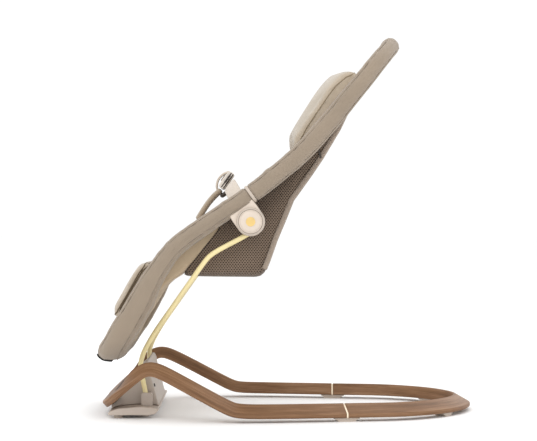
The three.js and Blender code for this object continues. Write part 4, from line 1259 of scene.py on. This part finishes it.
# %% Housing
tray_outline = np.array([(-243, 8), (-240, 6), (-173, 6), (-162, 8.5), (-156, 14.5),
                         (-156.5, 17), (-167, 19), (-186, 20.5), (-225, 17.5),
                         (-241, 11.5)]) * MM - (0, HUB[2])
TRAY_HALF, COVER_HALF = 0.149, 0.110
tray = prism("tray", tray_outline, -TRAY_HALF, TRAY_HALF, bevel=0.0022)
dress(tray, tray_plastic, "base", ["housing_tray"])
ramp = np.array([-0.2222, -0.210, -0.198, -0.187])
under = np.array([-0.240, -0.232, -0.2235])
cover_outline = np.vstack([
    np.stack([under, rail_height(under) - 0.0015], 1),
    np.stack([ramp, rail_height(ramp) + 0.017], 1),
    np.array([(-181, 93), (-177, 91), (-174, 84), (-171, 67), (-157.5, 17.8), (-167, 19.4),
              (-186, 21), (-225, 18), (-239, 13.5)]) * MM]) - (0, HUB[2])
cover = prism("cover", cover_outline, -COVER_HALF, COVER_HALF, bevel=0.003)
dress(cover, housing_plastic, "base", ["housing_cover"])

# %% Foot bumper
# A rubber strip round the foot end's lower corner, a little proud of the roll. It follows the
# roll's own section there: nearly square, its lower half deepened and leaning back.
BUMPER_HALF, BUMPER_OUTER, BUMPER_INNER = 0.101, 0.0222, 0.0176
square = np.radians(np.linspace(-16, 38, 16))
c, si = superellipse(square, 2.9)
run = side.along(0.001)
toe_out, toe_up = -run, np.array([-run[1], run[0]])
rise = si * (1 + 0.5 * (si < 0))
reach = c - 0.45 * np.maximum(0, -rise)
toe = on_side(TO_FEET) + np.concatenate([
    r * (reach[::step, None] * toe_out + rise[::step, None] * toe_up)
    for r, step in ((BUMPER_OUTER, 1), (BUMPER_INNER, -1))])
bumper = prism("bumper", toe, -BUMPER_HALF, BUMPER_HALF, bevel=0.0006)
dress(bumper, dark_rubber, "seat", ["foot_bumper"])


# %% Rods
ROD_RADIUS, ROD_FOOT_Y, ROD_TOP_Y = 0.0042, 0.119, 0.167


def rod(name):
    """The rod's own route, as X, Z and its share of the way out from foot to hub: up from
    its foot, forward round a bend and on to the hub."""
    route = np.array([(-178, 31, 0), (-184.5, 63, 0.03), (-188.5, 86, 0.06),
                      (-185, 105, 0.12), (-169, 136.5, 0.28), (-130, 193.5, 0.62),
                      (-100, 236, 0.84), (-83, 260, 0.92), (-70, 276, 0.96),
                      (-56, 286, 0.98), (-17.7, 306.5, 1), (-3, 315, 1)])
    y = -ROD_FOOT_Y + (-ROD_TOP_Y + ROD_FOOT_Y) * route[:, 2]
    line = smooth_line(place(route[:, :2] * MM - (0, HUB[2]), y), per=16)
    return tube(name, line, ROD_RADIUS, 28)


both_sides(rod, "rod", rod_paint, "rods", "spring_rod")


# %% Hub discs
def turned(name, section, steps=96):
    """A profile of radius and distance outwards, turned about the hub's axis."""
    section = np.asarray(section, float) * MM
    angle = np.linspace(0, 2 * np.pi, steps, endpoint=False)
    r, out = section[:, 0], section[:, 1]
    points = np.empty((steps, len(section), 3))
    points[..., 0] = HUB[0] + np.cos(angle)[:, None] * r
    points[..., 1] = -out[None]
    points[..., 2] = HUB[2] + np.sin(angle)[:, None] * r
    return grid_mesh(name, points, round_u=True, round_v=section[0, 0] > 0.001)


def rim_disc(name):
    return turned(name, [(20.5, 184.3), (23.5, 184.3), (23.7, 187.6), (23.4, 188.8),
                         (22.6, 189.8), (21.6, 190.2), (20.7, 190.1), (20.5, 189.7)])


def press_disc(name):
    return turned(name, [(0.02, 183.8), (19.9, 183.8), (20.0, 189.2), (19.7, 190.0),
                         (19.0, 190.5), (18.5, 190.5), (18.3, 190.1), (17.9, 190.1),
                         (17.7, 190.6), (14, 191.1), (8, 191.45), (0.02, 191.55)])


def gilt_dot(name):
    return turned(name, [(0.02, 191.3), (7.6, 191.3), (8.0, 191.62), (7.6, 191.75),
                         (0.02, 191.8)], 64)


gilt = moulded("gilt", (228, 196, 128), 0.34, relief=0.02, metallic=0.55)
both_sides(rim_disc, "hub_rim", rim_plastic, "seat", "hub_bezel")
both_sides(press_disc, "hub_press", hub_plastic, "hub_button_{}", "hub_button")
both_sides(gilt_dot, "hub_dot", gilt, "hub_button_{}")

# %% Hub shell
run = side.along(hub_at)
HUB_RADIUS = 0.0244
HUB_TURN = math.atan2(run[1], run[0])
TUBE_OFF = float(np.hypot(*side.at(hub_at)))


def hub_shell(name):
    """A teardrop, a half circle with straight sides up to the tube, lofted outwards: each
    ring is the outline moved in along its own normals."""
    arc = np.linspace(np.pi, 2 * np.pi, 40)
    outline = np.vstack([np.stack([HUB_RADIUS * np.cos(arc), HUB_RADIUS * np.sin(arc)], 1),
                         [(HUB_RADIUS, 0.008), (HUB_RADIUS, 0.018), (0.0236, TUBE_OFF - 0.008),
                          (0.020, TUBE_OFF - 0.0055), (-0.020, TUBE_OFF - 0.0055),
                          (-0.0236, TUBE_OFF - 0.008), (-HUB_RADIUS, 0.018),
                          (-HUB_RADIUS, 0.008)]])
    step = np.roll(outline, -1, 0) - np.roll(outline, 1, 0)
    normal = unit(np.stack([step[:, 1], -step[:, 0]], 1))
    rings = []
    for inset, out in ((0.0, 0.1752), (0.0, 0.1815), (0.0004, 0.1830), (0.0013, 0.1838),
                       (0.0024, 0.1841)):
        xz = rotated(outline - inset * normal, HUB_TURN)
        rings.append(place(xz, np.full(len(xz), -out)))
    return grid_mesh(name, np.array(rings), round_v=True, caps=True)


def collar(name):
    """The ring between the two padded rolls: a short band about the tube."""
    s = np.linspace(0.0246, 0.0298, 13)
    size = 0.0156 + 0.0006 * np.clip(1 - np.abs(np.linspace(-1, 1, 13)) ** 4, 0, 1) ** 0.5
    return tube(name, place(on_side(s), np.full(13, -SEAT_HALF)), size, 48)


both_sides(hub_shell, "hub_shell", hub_plastic, "seat", "seat_bracket")
both_sides(collar, "hub_collar", rim_plastic, "seat")

# %% [markdown]
# ## The frame's own parts
# Feet, fastenings and everything inside the hubs already have the right shape, so they stay
# as they are and only take a finish.

# %% Finishes for the frame's parts
own = {"splice_ring": ring_inlay, "splice_dowel": plain_steel, "splice_foot": foot_rubber,
       "rear_foot": foot_rubber, "front_foot": foot_rubber, "middle_foot": foot_rubber,
       "rod_socket": tray_plastic, "cover_screw": dark_plastic, "hub_core": core_plastic,
       "index_plate": plain_steel, "pivot_bolt": plain_steel, "pivot_nut": plain_steel,
       "button_spring": plain_steel, "frame_tube": plain_steel, "zip_pull": dark_plastic}
for name, node in frame["nodes"].items():
    finish = next((f for start, f in own.items() if name.startswith(start)), None)
    if finish:
        node.data.materials.clear()
        node.data.materials.append(finish)
shown = [n for n, o in frame["nodes"].items() if not o.hide_render]
print("frame parts shown:", len(shown))
